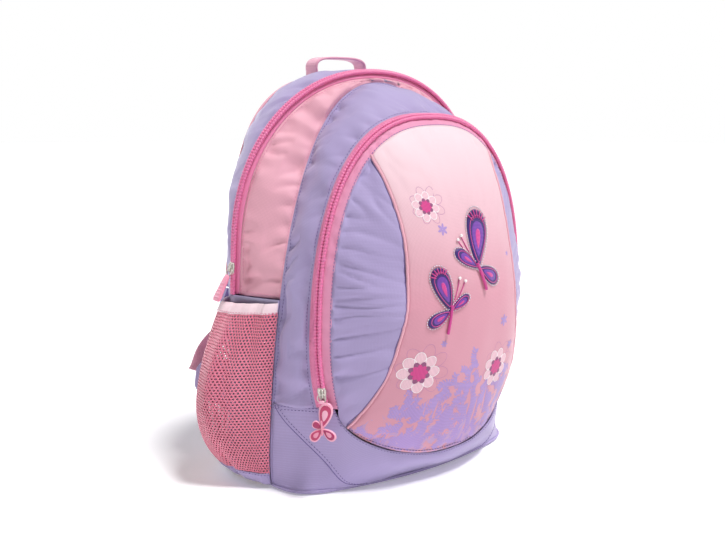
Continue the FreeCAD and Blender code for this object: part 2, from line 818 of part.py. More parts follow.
def slider(seam, side, z, outer):
    """Outer plate with its bail."""
    origin, out, along = slider_frame(seam, side, z, outer)
    lift = coil_lift + slider_clear
    plate = Part.makeBox(slider_wide, slider_plate, slider_long,
                         Vector(-slider_wide / 2, lift, -slider_long / 2))
    upright = [e for e in plate.Edges if abs(e.tangentAt(e.FirstParameter).y) > 0.9]
    plate = plate.makeFillet(2.5, upright)
    top = lift + slider_plate
    post = Part.makeBox(2.4, 2.6, 8.0, Vector(-1.2, top - 0.2, -4.0))
    window = Part.makeBox(4.0, 1.4, 4.6, Vector(-2.0, top + 0.2, -2.4))
    return place(plate.fuse(post).cut(window).removeSplitter(), origin, out, along)


def puller_pivot(seam, side, z, outer):
    origin, out, along = slider_frame(seam, side, z, outer)
    return origin + out * (coil_lift + slider_clear + slider_plate + 0.9) - along * 0.1


def hang(shapes, seam, side, z, outer, lean=0.0):
    """Hang a puller's pieces, built below the origin and facing +Y, from a slider's bail."""
    pivot = puller_pivot(seam, side, z, outer)
    out = slider_frame(seam, side, z, outer)[1]
    level = Vector(out.x, out.y, 0).normalize()
    turn = math.radians(lean)
    face = level * math.cos(turn) + Vector(0, 0, 1) * math.sin(turn)
    up = Vector(0, 0, 1) * math.cos(turn) - level * math.sin(turn)
    return [place(shape, pivot, face, up) for shape in shapes]


def puller_ring():
    return Part.makeTorus(4.0, 0.55, Vector(0, 0, -4.0), Vector(0, 1, 0))


def plain_grip():
    """Moulded grip of the main zip's puller."""
    return rounded_pad(0.0, -38.0, -8.8, 13.0, -1.6, 3.2, 5.0, 1.0)


def butterfly_grip():
    """Flat moulded butterfly, hung by one large upper wing."""
    wings = None
    for angle, length, width in ((-12, 24.0, 17.0), (58, 13.0, 10.0), (140, 17.0, 12.0), (-128, 17.0, 12.0)):
        oval = Part.Ellipse(Vector(0, 0, 0), length / 2, width / 2).toShape()
        face = Part.Face(Part.Wire([oval]))
        face.translate(Vector(length / 2 - 1.5, 0, 0))
        face.rotate(Vector(0, 0, 0), Vector(0, 0, 1), 90 - angle)
        lobe = face.extrude(Vector(0, 0, 3.0))
        wings = lobe if wings is None else wings.fuse(lobe)
    wings = wings.removeSplitter()
    wings.rotate(Vector(0, 0, 0), Vector(1, 0, 0), 90)
    wings.translate(Vector(-1.5, 1.5, -31.0))
    return wings


# ---------------------------------------------------------------- make every piece
def save(node, shape):
    if shape.isNull() or not shape.Solids:
        raise ValueError(node + " has no solid")
    if not shape.isValid():
        print(node, "is not valid")
    shape.exportStep("parts/" + node + ".step")
    print(node, len(shape.Solids), round(shape.Volume))


def save_rear(rails, normals):
    save("rear_gusset", strip(rails, normals, REAR, REAR_TAPE, shell))
    save("main_zip_tape_rear", strip(rails, normals, REAR_TAPE, REAR_COIL, tape_thick))
    middle = coil_width / 2 + seam_gap / 2
    save("main_zip_coil_rear", strip(rails, normals, REAR_COIL, FRONT_COIL, coil_thick, coil_lift,
                                     seam_gap / 2, middle))
    front = strip(rails, normals, REAR_COIL, FRONT_COIL, coil_thick, coil_lift, middle, seam_gap / 2)
    save("main_zip_coil_front", front.common(above_fold))
    save("main_zip_tape_front", strip(rails, normals, FRONT_COIL, FRONT_TAPE, tape_thick).common(above_fold))
    save("front_gusset", strip(rails, normals, FRONT_TAPE, GUSSET, shell).common(above_fold))


def front_strips(rails, normals):
    """The front band and the three strips of the pocket zip."""
    return [strip(rails, normals, GUSSET, OUTER_TAPE, shell),
            strip(rails, normals, OUTER_TAPE, OUTER_COIL, tape_thick),
            strip(rails, normals, OUTER_COIL, INNER_COIL, coil_thick, coil_lift),
            strip(rails, normals, INNER_COIL, INNER_TAPE, tape_thick)]


def save_shell():
    upper_rails, upper_normals = upper_skin()
    save_rear(upper_rails, upper_normals)
    over = front_strips(upper_rails, upper_normals)
    sides = []
    for side, name in ((-1, "left"), (1, "right")):
        rails, normals = side_skin(side, base_thick + seam_gap)
        panel = strip(rails, normals, REAR, GUSSET, shell)
        save("lower_side_panel_" + name, panel.common(below_fold))
        rails, normals = side_skin(side, yoke_top)
        sides.append(front_strips(rails, normals))
    names = ("front_band", "pocket_zip_tape_outer", "pocket_zip_coil", "pocket_zip_tape_inner")
    folds = []
    for k, name in enumerate(names):
        pieces = [over[k], sides[0][k], sides[1][k]]
        save(name + "_upper", over[k].common(above_fold))
        save(name + "_lower", Part.makeCompound([p.common(below_fold) for p in pieces[1:]]))
        folds.append(Part.makeCompound([p.common(in_fold) for p in pieces]))
    save("front_band_fold", folds[0])
    save("pocket_zip_fold", Part.makeCompound(folds[1:]))


def save_pocket():
    face = pocket_sheet().common(smooth_prism_y(pocket_outline(panel_gap), -far, 0))
    folds = []
    for side, name in ((-1, "left"), (0, "center"), (1, "right")):
        panel = face.common(print_zone(side))
        save("pocket_panel_" + name + "_upper", panel.common(above_fold))
        save("pocket_panel_" + name + "_lower", panel.common(below_fold))
        folds.append(panel.common(in_fold))
    save("pocket_panel_fold", Part.makeCompound(folds))
    save("divider_upper", divider(above_fold))
    save("divider_lower", divider(below_fold))
    save("butterfly_large", butterfly(6.0, 240.0, 34.0, 14.0))
    save("butterfly_small", butterfly(-34.0, 193.0, 30.0, 2.0))


def save_back():
    save("back_panel", back_plate(shell + 0.8, back_depth - back_panel_thick, back_depth))
    foam_face = back_depth - back_panel_thick - seam_gap
    save("back_foam", back_plate(shell + 6.0, foam_face - foam_thick, foam_face))
    for side, name in ((-1, "left"), (1, "right")):
        save("back_pad_" + name, back_pad(side))
    save("lumbar_pad", lumbar_pad())
    save("strap_anchor", strap_anchor())


def save_base():
    save("base_panel", base_plate(0.0, 0.0, base_thick, 16.0))
    low = base_thick + seam_gap
    save("base_board", base_plate(14.0, low, low + board_thick, 12.0))
    save("front_yoke", front_yoke())


def save_straps():
    for side, name in ((-1, "left"), (1, "right")):
        save("side_pocket_" + name, side_pocket(side))
        save("side_pocket_binding_" + name, side_pocket_binding(side))
        save("shoulder_strap_" + name, shoulder_strap(side))
        save("ladder_lock_" + name, ladder_lock(side))
        save("strap_webbing_" + name, lower_webbing(side))
        save("strap_tab_" + name, strap_tab(side))
    save("grab_handle", grab_handle())
    save("handle_anchor", handle_anchor())


def save_zip_hardware():
    main_height = fold_height + 13.0
    pocket_height = yoke_top + 17.0
    main_out = (-1.0, 0.0)
    pocket_out = (-0.78, -0.62)
    save("main_slider", slider(main_zip, -1, main_height, main_out))
    ring, grip = hang([puller_ring(), plain_grip()], main_zip, -1, main_height, main_out, main_pull_lean)
    save("main_puller_ring", ring)
    save("main_puller", grip)
    save("pocket_slider", slider(pocket_zip, -1, pocket_height, pocket_out))
    ring, wings = hang([puller_ring(), butterfly_grip()], pocket_zip, -1, pocket_height, pocket_out)
    save("pocket_puller_ring", ring)
    save("pocket_puller", wings)
    for seam, z, out, label in ((main_zip, main_height, main_out, "main"),
                                (pocket_zip, pocket_height, pocket_out, "pocket")):
        print(label, "pivot", puller_pivot(seam, -1, z, out), slider_frame(seam, -1, z, out))


save_base()
save_back()
save_shell()
save_pocket()
save_straps()
save_zip_hardware()
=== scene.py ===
import bpy
import math
import random
from mathutils import Matrix, Vector, noise


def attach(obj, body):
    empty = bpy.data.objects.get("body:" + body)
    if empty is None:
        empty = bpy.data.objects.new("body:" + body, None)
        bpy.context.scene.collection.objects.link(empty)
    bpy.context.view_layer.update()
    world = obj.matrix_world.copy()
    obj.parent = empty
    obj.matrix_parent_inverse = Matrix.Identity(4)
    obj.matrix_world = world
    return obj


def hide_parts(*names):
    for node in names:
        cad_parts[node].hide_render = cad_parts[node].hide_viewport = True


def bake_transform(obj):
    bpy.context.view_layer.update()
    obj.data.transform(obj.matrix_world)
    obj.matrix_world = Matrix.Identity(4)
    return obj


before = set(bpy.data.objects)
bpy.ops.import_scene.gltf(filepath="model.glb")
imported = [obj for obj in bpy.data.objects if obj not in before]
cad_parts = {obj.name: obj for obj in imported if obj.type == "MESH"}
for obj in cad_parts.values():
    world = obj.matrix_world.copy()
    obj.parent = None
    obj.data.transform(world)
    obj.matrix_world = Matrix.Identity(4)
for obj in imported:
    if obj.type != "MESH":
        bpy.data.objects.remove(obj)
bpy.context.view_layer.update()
scene = bpy.context.scene

# ---------------------------------------------------------------- the studio
# A child's school backpack stands on a pale floor under soft light. Everything is measured in millimetres
# and turned to metres as a mesh is made. +Z is up, the bag's front faces -Y and +X is to the viewer's right.
MM = 0.001


def colour(code, alpha=1.0):
    """An sRGB hex colour as linear values."""
    parts = [int(code[i:i + 2], 16) / 255 for i in (1, 3, 5)]
    linear = [c / 12.92 if c <= 0.04045 else ((c + 0.055) / 1.055) ** 2.4 for c in parts]
    return (*linear, alpha)


def node(tree, kind, settings=None, links=None):
    """Add a node, set its properties and inputs, and link what feeds it."""
    made = tree.nodes.new(kind)
    for key, value in (settings or {}).items():
        if isinstance(key, str) and hasattr(made, key):
            setattr(made, key, value)
        else:
            made.inputs[key].default_value = value
    for key, source in (links or {}).items():
        tree.links.new(source, made.inputs[key])
    return made


def new_material(name):
    """An empty node material and its tree."""
    made = bpy.data.materials.new(name)
    made.use_nodes = True
    made.node_tree.nodes.clear()
    return made, made.node_tree


def soft(t):
    """0 below 0, 1 above 1 and a smooth rise between."""
    t = min(max(t, 0.0), 1.0)
    return t * t * (3 - 2 * t)


def mesh_object(name, points, faces, materials, face_slots=None, smooth=True, cloth=None):
    """An object from points in millimetres. It keeps each point's rest place and its place on the cloth."""
    mesh = bpy.data.meshes.new(name)
    mesh.from_pydata([p * MM for p in points], [], faces)
    for made in materials:
        mesh.materials.append(made)
    if face_slots:
        mesh.polygons.foreach_set("material_index", face_slots)
    mesh.polygons.foreach_set("use_smooth", [smooth] * len(faces))
    place = mesh.attributes.new("place", "FLOAT_VECTOR", "POINT")
    place.data.foreach_set("vector", [c * MM for p in points for c in p])
    lay = mesh.attributes.new("cloth", "FLOAT_VECTOR", "POINT")
    lay.data.foreach_set("vector", [c * MM for p in (cloth or points) for c in p])
    mesh.update()
    made = bpy.data.objects.new(name, mesh)
    scene.collection.objects.link(made)
    return made


paper, tree = new_material("painted_studio_floor")
# Matt white paint: it takes a soft shadow, has almost no gloss, and glows a little as a lit backdrop does.
grain = node(tree, "ShaderNodeTexNoise", {"Scale": 9.0, "Detail": 4.0})
tone = node(tree, "ShaderNodeValToRGB", {}, {"Fac": grain.outputs["Fac"]})
tone.color_ramp.elements[0].color = colour("#F7F6F8")
tone.color_ramp.elements[1].color = colour("#FCFCFD")
shade = node(tree, "ShaderNodeBsdfPrincipled",
             {"Roughness": 0.85, "Specular IOR Level": 0.2, "Emission Color": colour("#FFFFFF"),
              "Emission Strength": 0.2}, {"Base Color": tone.outputs["Color"]})
node(tree, "ShaderNodeOutputMaterial", {}, {"Surface": shade.outputs["BSDF"]})

FLOOR_RADIUS = 9000.0
turns = [a * math.pi / 24 for a in range(48)]
floor_ring = [Vector((FLOOR_RADIUS * math.cos(t), FLOOR_RADIUS * math.sin(t), -0.6)) for t in turns]
floor = mesh_object("studio_floor", floor_ring, [list(range(48))], [paper], smooth=False)

# A white room shows behind the bag, but the lamps alone light it: a broad key from above and in front, and
# weak wide fills from the left, the right and behind. The floor sends some of it back up.
world = bpy.data.worlds.new("studio")
world.use_nodes = True
scene.world = world
world.node_tree.nodes["Background"].inputs["Color"].default_value = colour("#FFFFFF")
world.node_tree.nodes["Background"].inputs["Strength"].default_value = 1.0
world.cycles_visibility.diffuse = False
scene.view_settings.view_transform = "Standard"
for name, way, strength, spread in (("key_lamp", (0.14, -0.36, 0.92), 3.35, 14.0),
                                    ("left_fill", (-0.75, -0.62, 0.25), 0.22, 60.0),
                                    ("right_fill", (0.75, -0.45, 0.40), 0.3, 60.0),
                                    ("back_fill", (-0.15, 0.92, 0.38), 1.5, 90.0)):
    lamp = bpy.data.lights.new(name, "SUN")
    lamp.energy = strength
    lamp.angle = math.radians(spread)
    made = bpy.data.objects.new(name, lamp)
    made.rotation_euler = Vector(way).to_track_quat("Z", "Y").to_euler()
    scene.collection.objects.link(made)

# The camera stands a metre off the bag's left front corner, at about the height of the bag's top.
camera_azimuth = math.radians(-38.49)
camera_elevation = math.radians(9.9)
camera_distance = 1.0087
camera_target = Vector((-0.01025, 0.00815, 0.19469))
ca, sa = math.cos(camera_azimuth), math.sin(camera_azimuth)
ce, se = math.cos(camera_elevation), math.sin(camera_elevation)
to_camera = Vector((sa * ce, -ca * ce, se))
to_right = Vector((ca, sa, 0.0))
to_top = to_camera.cross(to_right)
lens = bpy.data.cameras.new("camera")
lens.lens = 47.42
lens.sensor_width = 36.0
camera = bpy.data.objects.new("camera", lens)
camera.matrix_world = Matrix.Translation(camera_target + to_camera * camera_distance) @ Matrix(
    (to_right, to_top, to_camera)).transposed().to_4x4()
scene.collection.objects.link(camera)
scene.camera = camera

# ---------------------------------------------------------------- the bag's lines
# The bag is cut from flat cloth and sewn along four seam lines that run up one side, over the top and down
# the other: the back's edge, the main zip, the seam of the pink gusset, and the front pocket's zip.
FOLD_HEIGHT = 200.0
BASE_TOP = 3.4
YOKE_TOP = 88.0
GUSSET_FOOT = 187.0
seams = {
    "rear": (131.0, 397.0, 2.8, 196.0, -9.0, (70.0, 0.0, 0.0)),
    "zip": (158.0, 401.0, 2.15, 240.0, 11.0, (40.0, -29.0, -7.6)),
    "gusset": (151.0, 391.0, 2.08, 41.0, 4.0, (-22.0, -43.0, 61.0)),
    "pocket": (131.0, 357.0, 2.47, 155.0, 55.0, (-75.0, -8.0, 2.3)),
}


def half_width(seam, z):
    """Distance from the middle to a seam line at a height."""
    wide, top, power, knee, taper, _ = seam
    if z >= knee:
        return wide * max(1 - min((z - knee) / (top - knee), 1.0) ** power, 0.0) ** (1 / power)
    return wide - taper * ((knee - z) / knee) ** 2


def depth(seam, z):
    """Front-to-back place of a seam line at a height."""
    up = z / seam[1]
    return seam[5][0] + seam[5][1] * up + seam[5][2] * up * up


def moved_in(seam, distance):
    return (seam[0] - distance, seam[1] - distance, *seam[2:])


def even(points, count):
    """count points evenly spaced along a line."""
    lengths = [0.0]
    for a, b in zip(points, points[1:]):
        lengths.append(lengths[-1] + (b - a).length)
    spaced = []
    k = 0
    for i in range(count):
        want = lengths[-1] * i / (count - 1)
        while k < len(points) - 2 and lengths[k + 1] < want:
            k += 1
        span = max(lengths[k + 1] - lengths[k], 1e-9)
        spaced.append(points[k].lerp(points[k + 1], (want - lengths[k]) / span))
    return spaced


def rail(seam, low, face=None):
    """Points on a seam line up the left side, over the top and down the right side, about 3 mm apart."""
    def point(x, z):
        return Vector((x, face(x, z) if face else depth(seam, z), z))
    wide, top, power, knee = seam[:4]
    start = max(knee, FOLD_HEIGHT)
    straight = [FOLD_HEIGHT + (start - FOLD_HEIGHT) * i / 40 for i in range(40)]
    fine = [point(-half_width(seam, z), z) for z in straight]
    turn = math.asin(((start - knee) / (top - knee)) ** (power / 2))
    for i in range(140):
        t = turn + (math.pi / 2 - turn) * i / 140
        fine.append(point(-wide * math.cos(t) ** (2 / power),
                          knee + (top - knee) * math.sin(t) ** (2 / power)))
    mirrored = [point(-p.x, p.z) for p in reversed(fine)]
    over = even(fine + [point(0.0, top)] + mirrored, 211)
    steps = max(round((FOLD_HEIGHT - low) / 3), 2)
    levels = [low + (FOLD_HEIGHT - low) * i / steps for i in range(steps)]
    left, right = ([point(side * half_width(seam, z), z) for z in levels] for side in (-1, 1))
    return left + over + right[::-1]


def towards(rail_a, rail_b, distance):
    return [a + (b - a).normalized() * distance for a, b in zip(rail_a, rail_b)]


def between(rail_a, rail_b, share, swell):
    """A rail part of the way to another, pushed out of the bag by swell."""
    mid = [a.lerp(b, share) for a, b in zip(rail_a, rail_b)]
    last = len(mid) - 1
    out = []
    for i, point in enumerate(mid):
        along = mid[min(i + 1, last)] - mid[max(i - 1, 0)]
        out.append(point + (rail_b[i] - rail_a[i]).cross(along).normalized() * swell)
    return out


def on_curve(knots, t):
    """Point on the smooth curve through the knots. t counts knots from the first."""
    k = min(int(t), len(knots) - 2)
    p1, p2 = knots[k], knots[k + 1]
    p0 = knots[k - 1] if k else p1 * 2 - p2
    p3 = knots[k + 2] if k + 2 < len(knots) else p2 * 2 - p1
    t -= k
    return 0.5 * (2 * p1 + (p2 - p0) * t + (2 * p0 - 5 * p1 + 4 * p2 - p3) * t * t
                  + (3 * p1 - p0 - 3 * p2 + p3) * t ** 3)


def across_rails(rails, step):
    """Rows of points about step apart on smooth curves through the rails."""
    wide = max(sum((b[i] - a[i]).length for a, b in zip(rails, rails[1:])) for i in range(len(rails[0])))
    count = max(round(wide / step), 3)
    last = len(rails) - 1
    return [[on_curve(knots, last * j / count) for j in range(count + 1)] for knots in zip(*rails)]


def grid_normals(rows, out):
    """Unit vectors out of the bag at each point of a grid of rows."""
    last_i, last_j = len(rows) - 1, len(rows[0]) - 1
    normals = []
    for i, row in enumerate(rows):
        line = []
        for j in range(last_j + 1):
            along = rows[min(i + 1, last_i)][j] - rows[max(i - 1, 0)][j]
            across = row[min(j + 1, last_j)] - row[max(j - 1, 0)]
            if across.length < 0.05:
                mid = rows[min(max(i, 1), last_i - 1)]
                across = mid[min(j + 1, last_j)] - mid[max(j - 1, 0)]
            normal = across.cross(along)
            line.append(normal.normalized() * out if normal.length > 1e-6 else Vector((0, -1, 0)))
        normals.append(line)
    return normals


def cloth_places(rows):
    """Distances in millimetres along and across the cloth at each point of a grid."""
    middle = len(rows[0]) // 2
    along = [0.0]
    for a, b in zip(rows, rows[1:]):
        along.append(along[-1] + (b[middle] - a[middle]).length)
    places = []
    for i, row in enumerate(rows):
        across = [0.0]
        for a, b in zip(row, row[1:]):
            across.append(across[-1] + (b - a).length)
        places.append([(along[i], c, across[-1]) for c in across])
    return places


class Panel:
    """A sewn sheet of cloth with thickness. rows are points on its outer face before any relief."""

    def __init__(self, name, rows, thick, face_cloth, lining, relief=None, out=1):
        places = cloth_places(rows)
        normals = grid_normals(rows, out)
        if relief:
            rows = [[p + n * relief(p, *place) for p, n, place in zip(*lines)]
                    for lines in zip(rows, normals, places)]
            normals = grid_normals(rows, out)
        self.rows, self.normals, self.places = rows, normals, places
        high, wide = len(rows), len(rows[0])
        points = [p for row in rows for p in row]
        points += [p - n * thick for row, line in zip(rows, normals) for p, n in zip(row, line)]
        lay = [Vector((a, c, 0)) for row in places for a, c, _ in row] * 2
        faces, slots = [], []
        back = high * wide

        def add(corners, slot):
            faces.append(corners if out > 0 else corners[::-1])
            slots.append(slot)

        for i in range(high - 1):
            for j in range(wide - 1):
                a, b = i * wide + j, (i + 1) * wide + j
                add([a, a + 1, b + 1, b], 0)
                add([back + b, back + b + 1, back + a + 1, back + a], 1)
            a, b = i * wide, (i + 1) * wide
            add([a, b, back + b, back + a], 0)
            a, b = a + wide - 1, b + wide - 1
            add([b, a, back + a, back + b], 0)
        for j in range(wide - 1):
            add([j + 1, j, back + j, back + j + 1], 0)
            a = (high - 1) * wide + j
            add([a, a + 1, back + a + 1, back + a], 0)
        self.piece = mesh_object(name, points, faces, [face_cloth, lining], slots, cloth=lay)

    def line(self, distance, lift=0.0, from_end=False):
        """Points and normals on the outer face at a distance in from its first or last edge."""
        found = []
        for row, line, place in zip(self.rows, self.normals, self.places):
            want = place[-1][2] - distance if from_end else distance
            want = min(max(want, 0.0), place[-1][2])
            k = 0
            while k < len(row) - 2 and place[k + 1][1] < want:
                k += 1
            span = max(place[k + 1][1] - place[k][1], 1e-9)
            t = (want - place[k][1]) / span
            normal = line[k].lerp(line[k + 1], t).normalized()
            found.append((row[k].lerp(row[k + 1], t) + normal * lift, normal))
        return found

    def row_line(self, distance, lift=0.0, from_end=False):
        """Points and normals along one row, at a distance up from the bottom or down from the top."""
        heights = [abs(p[len(p) // 2][0] - (self.places[-1][0][0] if from_end else 0.0)) for p in self.places]
        i = min(range(len(heights)), key=lambda k: abs(heights[k] - distance))
        return [(p + n * lift, n) for p, n in zip(self.rows[i], self.normals[i])]


def tube(name, line, radius, material, sides=8, ridge=0.0, pitch=0.0, ends=True):
    """A round cord along a line of (point, normal). With a pitch its thickness rises and falls."""
    points = [p for p, _ in line]
    if pitch:
        length = sum((b - a).length for a, b in zip(points, points[1:]))
        count = int(length / pitch * 4) + 1
    else:
        count = len(points)
    fine = even(points, count) if pitch else points
    normals = [n for _, n in line]
    verts, faces, lay = [], [], []
    travel = 0.0
    for i, p in enumerate(fine):
        run = (fine[min(i + 1, count - 1)] - fine[max(i - 1, 0)]).normalized()
        out = normals[min(round(i * (len(normals) - 1) / (count - 1)), len(normals) - 1)]
        out = (out - run * out.dot(run)).normalized()
        wide = run.cross(out)
        size = radius * (1 + ridge * (1, 0, -1, 0)[i % 4]) if pitch else radius
        if i:
            travel += (p - fine[i - 1]).length
        for k in range(sides):
            turn = 2 * math.pi * k / sides
            verts.append(p + (out * math.cos(turn) + wide * math.sin(turn)) * size)
            lay.append(Vector((travel, size * turn, 0)))
    for i in range(count - 1):
        for k in range(sides):
            a, b = i * sides + k, i * sides + (k + 1) % sides
            faces.append([a, b, b + sides, a + sides])
    if ends:
        faces.append(list(range(sides))[::-1])
        faces.append([(count - 1) * sides + k for k in range(sides)])
    return mesh_object(name, verts, faces, [material], cloth=lay)


def stitches(name, lines, material, pitch=3.4, length=2.3, width=0.62, sink=0.12):
    """Rows of short thread stitches that lie on the cloth along lines of (point, normal)."""
    verts, faces = [], []
    for line in lines:
        points = [p for p, _ in line]
        total = sum((b - a).length for a, b in zip(points, points[1:]))
        count = max(int(total / pitch), 1)
        marks = even(points, count * 6 + 1)
        for s in range(count):
            start, end = marks[s * 6], marks[s * 6 + round(6 * length / pitch)]
            place = round((s + 0.4) / count * (len(line) - 1))
            out = line[place][1]
            run = end - start
            if run.length < 1e-6:
                continue
            run.normalize()
            out = (out - run * out.dot(run)).normalized()
            side = run.cross(out) * width / 2
            base = len(verts)
            for share, size, high in ((0.0, 0.35, 0.05), (0.22, 1.0, 0.85),
                                      (0.78, 1.0, 0.85), (1.0, 0.35, 0.05)):
                mid = start.lerp(end, share) - out * sink
                for w, h in ((-1.0, 0.0), (-0.6, 1.0), (0.6, 1.0), (1.0, 0.0)):
                    verts.append(mid + side * w * size + out * (width * high * h + 0.02))
            for k in range(3):
                for j in range(3):
                    a = base + k * 4 + j
                    faces.append([a, a + 4, a + 5, a + 1])
                a = base + k * 4
                faces.append([a + 3, a + 7, a + 4, a])
            faces.append([base, base + 1, base + 2, base + 3])
            faces.append([base + 15, base + 14, base + 13, base + 12])
    return mesh_object(name, verts, faces, [material])


def fix(piece, body, slot, *nodes):
    """Sew a piece to the body it moves with. "bend" is cloth that runs from the bag on to the front flap."""
    if body == "bend":
        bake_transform(piece)
    else:
        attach(piece, body)
    if nodes:
        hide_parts(*nodes)


def gathers(seed, folds, pulls, wave=12.0, turned=1.1):
    """Relief of a sewn panel: edges turned under, short pulls that run off the seams, and slow folds."""
    def relief(point, along, across, width):
        edge = min(across, width - across)
        away = soft(edge / 6)
        pull = noise.noise(Vector((along / wave, seed * 7.3, across / 70))) * math.exp(-edge / 16)
        slow = noise.noise(Vector(((along + 0.5 * across) / 46, (across - 0.25 * along) / 60, seed)))
        fine = noise.noise(Vector((along / 17, across / 23, seed + 4.1)))
        side = 1.0 if across < width / 2 else 2.0
        slant = along + 0.45 * edge * (1 if side > 1 else -1)
        sharp = max(0.0, 1 - 3.2 * abs(noise.noise(Vector((slant / (wave * 1.5), seed + side, edge / 60)))))
        crease = sharp * sharp * max(noise.noise(Vector((along / 60, seed * 2.1, side))) + 0.25, 0.0)
        return (-turned * (1 - soft(edge / 4)) - away * 3.0 * pulls * crease * math.exp(-edge / 20)
                + away * (pulls * pull + folds * (slow + 0.25 * fine)))
    return relief


# ---------------------------------------------------------------- cloths
# The bag is 600 denier polyester, dyed lavender or pale pink and calendered to a soft sheen. Its real threads
# are 0.45 mm apart, which is too fine to show, so the weave here is drawn at 1.3 mm.
THREAD = 1.3 * MM
WAVE_PERIOD = 2 * math.pi / 20      # length of one band of a wave texture of scale 1


def woven(name, deep, light, thread=THREAD, rough=0.62, sheen=0.35, relief=0.00022, extra=None):
    """Plain-woven cloth with uneven dye. extra may repaint the dyed colour before it is lit."""
    made, tree = new_material(name)
    lay = node(tree, "ShaderNodeAttribute", {"attribute_name": "cloth"})
    place = node(tree, "ShaderNodeAttribute", {"attribute_name": "place"})
    warp = node(tree, "ShaderNodeTexWave", {"bands_direction": "X", "Scale": WAVE_PERIOD / thread,
                                            "Distortion": 0.6, "Detail": 1.0},
                {"Vector": lay.outputs["Vector"]})
    weft = node(tree, "ShaderNodeTexWave", {"bands_direction": "Y", "Scale": WAVE_PERIOD / thread,
                                            "Distortion": 0.6, "Detail": 1.0},
                {"Vector": lay.outputs["Vector"]})
    weave = node(tree, "ShaderNodeMath", {"operation": "MULTIPLY"},
                 {0: warp.outputs["Fac"], 1: weft.outputs["Fac"]})
    cloud = node(tree, "ShaderNodeTexNoise", {"Scale": 14.0, "Detail": 3.0},
                 {"Vector": place.outputs["Vector"]})
    dye = node(tree, "ShaderNodeMix", {"data_type": "RGBA", 6: colour(deep), 7: colour(light)},
               {0: cloud.outputs["Fac"]})
    painted = dye.outputs[2]
    if extra:
        painted = extra(tree, place, painted)
    thread_tone = node(tree, "ShaderNodeMapRange", {"To Min": 0.93, "To Max": 1.05},
                       {"Value": weave.outputs["Value"]})
    tinted = node(tree, "ShaderNodeVectorMath", {"operation": "SCALE"},
                  {0: painted, "Scale": thread_tone.outputs["Result"]})
    wear = node(tree, "ShaderNodeMapRange", {"To Min": rough - 0.07, "To Max": rough + 0.09},
                {"Value": cloud.outputs["Fac"]})
    bump = node(tree, "ShaderNodeBump", {"Strength": 0.5, "Distance": relief},
                {"Height": weave.outputs["Value"]})
    shade = node(tree, "ShaderNodeBsdfPrincipled", {"Sheen Weight": sheen, "Sheen Roughness": 0.4,
                                                    "Specular IOR Level": 0.4},
                 {"Base Color": tinted.outputs["Vector"], "Roughness": wear.outputs["Result"],
                  "Normal": bump.outputs["Normal"]})
    node(tree, "ShaderNodeOutputMaterial", {}, {"Surface": shade.outputs["BSDF"]})
    return made


lavender = woven("lavender_polyester", "#A899C6", "#B4A6D1")
pale_pink = woven("pale_pink_polyester", "#E8A6B8", "#F0B5C4", sheen=0.4, rough=0.55)
lining = woven("grey_lilac_lining", "#8C84A0", "#9B94AE", thread=1.0 * MM, rough=0.75, sheen=0.1)
pink_thread = woven("pink_sewing_thread", "#E58BAF", "#EDA0BE", thread=0.9 * MM, rough=0.5, sheen=0.2)
purple_thread = woven("purple_sewing_thread", "#6E5C97", "#7D6BA6", thread=0.9 * MM, rough=0.5, sheen=0.2)

# ---------------------------------------------------------------- rails of the shell
# Each strip of cloth lies between two rails, from the back's edge forward to the front pocket's zip.
def shell_rails(low):
    rear, main, gusset, pocket = (rail(seams[k], low) for k in ("rear", "zip", "gusset", "pocket"))
    outer_tape = towards(pocket, gusset, 11.0)
    front_tape = towards(main, gusset, 6.5)
    return {
        "rear": rear, "rear_1": between(rear, main, 0.33, 5.0), "rear_2": between(rear, main, 0.67, 4.0),
        "rear_tape": towards(main, rear, 9.0), "main": main, "front_tape": front_tape,
        "gusset_1": between(front_tape, gusset, 0.5, 2.0), "gusset": gusset,
        "band_1": between(gusset, outer_tape, 0.33, 4.0), "band_2": between(gusset, outer_tape, 0.67, 4.0),
        "outer_tape": outer_tape, "pocket": pocket,
    }


POCKET_BULGE = 71.0


def pocket_face(x, z):
    """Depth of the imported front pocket's face, which is domed inside its zip."""
    wide, top = max(half_width(seams["pocket"], z), 1.0), seams["pocket"][1]
    across = min(abs(x) / wide, 1.0)
    up = (z - 0.47 * top) / (0.55 * top)
    return depth(seams["pocket"], z) - POCKET_BULGE * (1 - across ** 2.5) * max(1 - up * up, 0.0)


# ---------------------------------------------------------------- rear gusset
# A lavender strip runs round the bag between the back's edge and the main zip. It is one length of
# polyester, turned under and lock-stitched along both edges, and it sags a little between them.
CLOTH = 1.4        # outer cloth with its backing and lining
full = shell_rails(BASE_TOP)
rear_gusset = Panel("rear_gusset_cloth",
                    across_rails([full["rear"], full["rear_1"], full["rear_2"], full["rear_tape"]], 2.4),
                    CLOTH, lavender, lining, gathers(1.0, 4.4, 3.2, turned=0.6))
fix(rear_gusset.piece, "root", "lavender_fabric", "rear_gusset")
fix(stitches("rear_gusset_stitches", [rear_gusset.line(2.6, from_end=True), rear_gusset.line(2.4)],
             purple_thread), "root", "lavender_fabric")

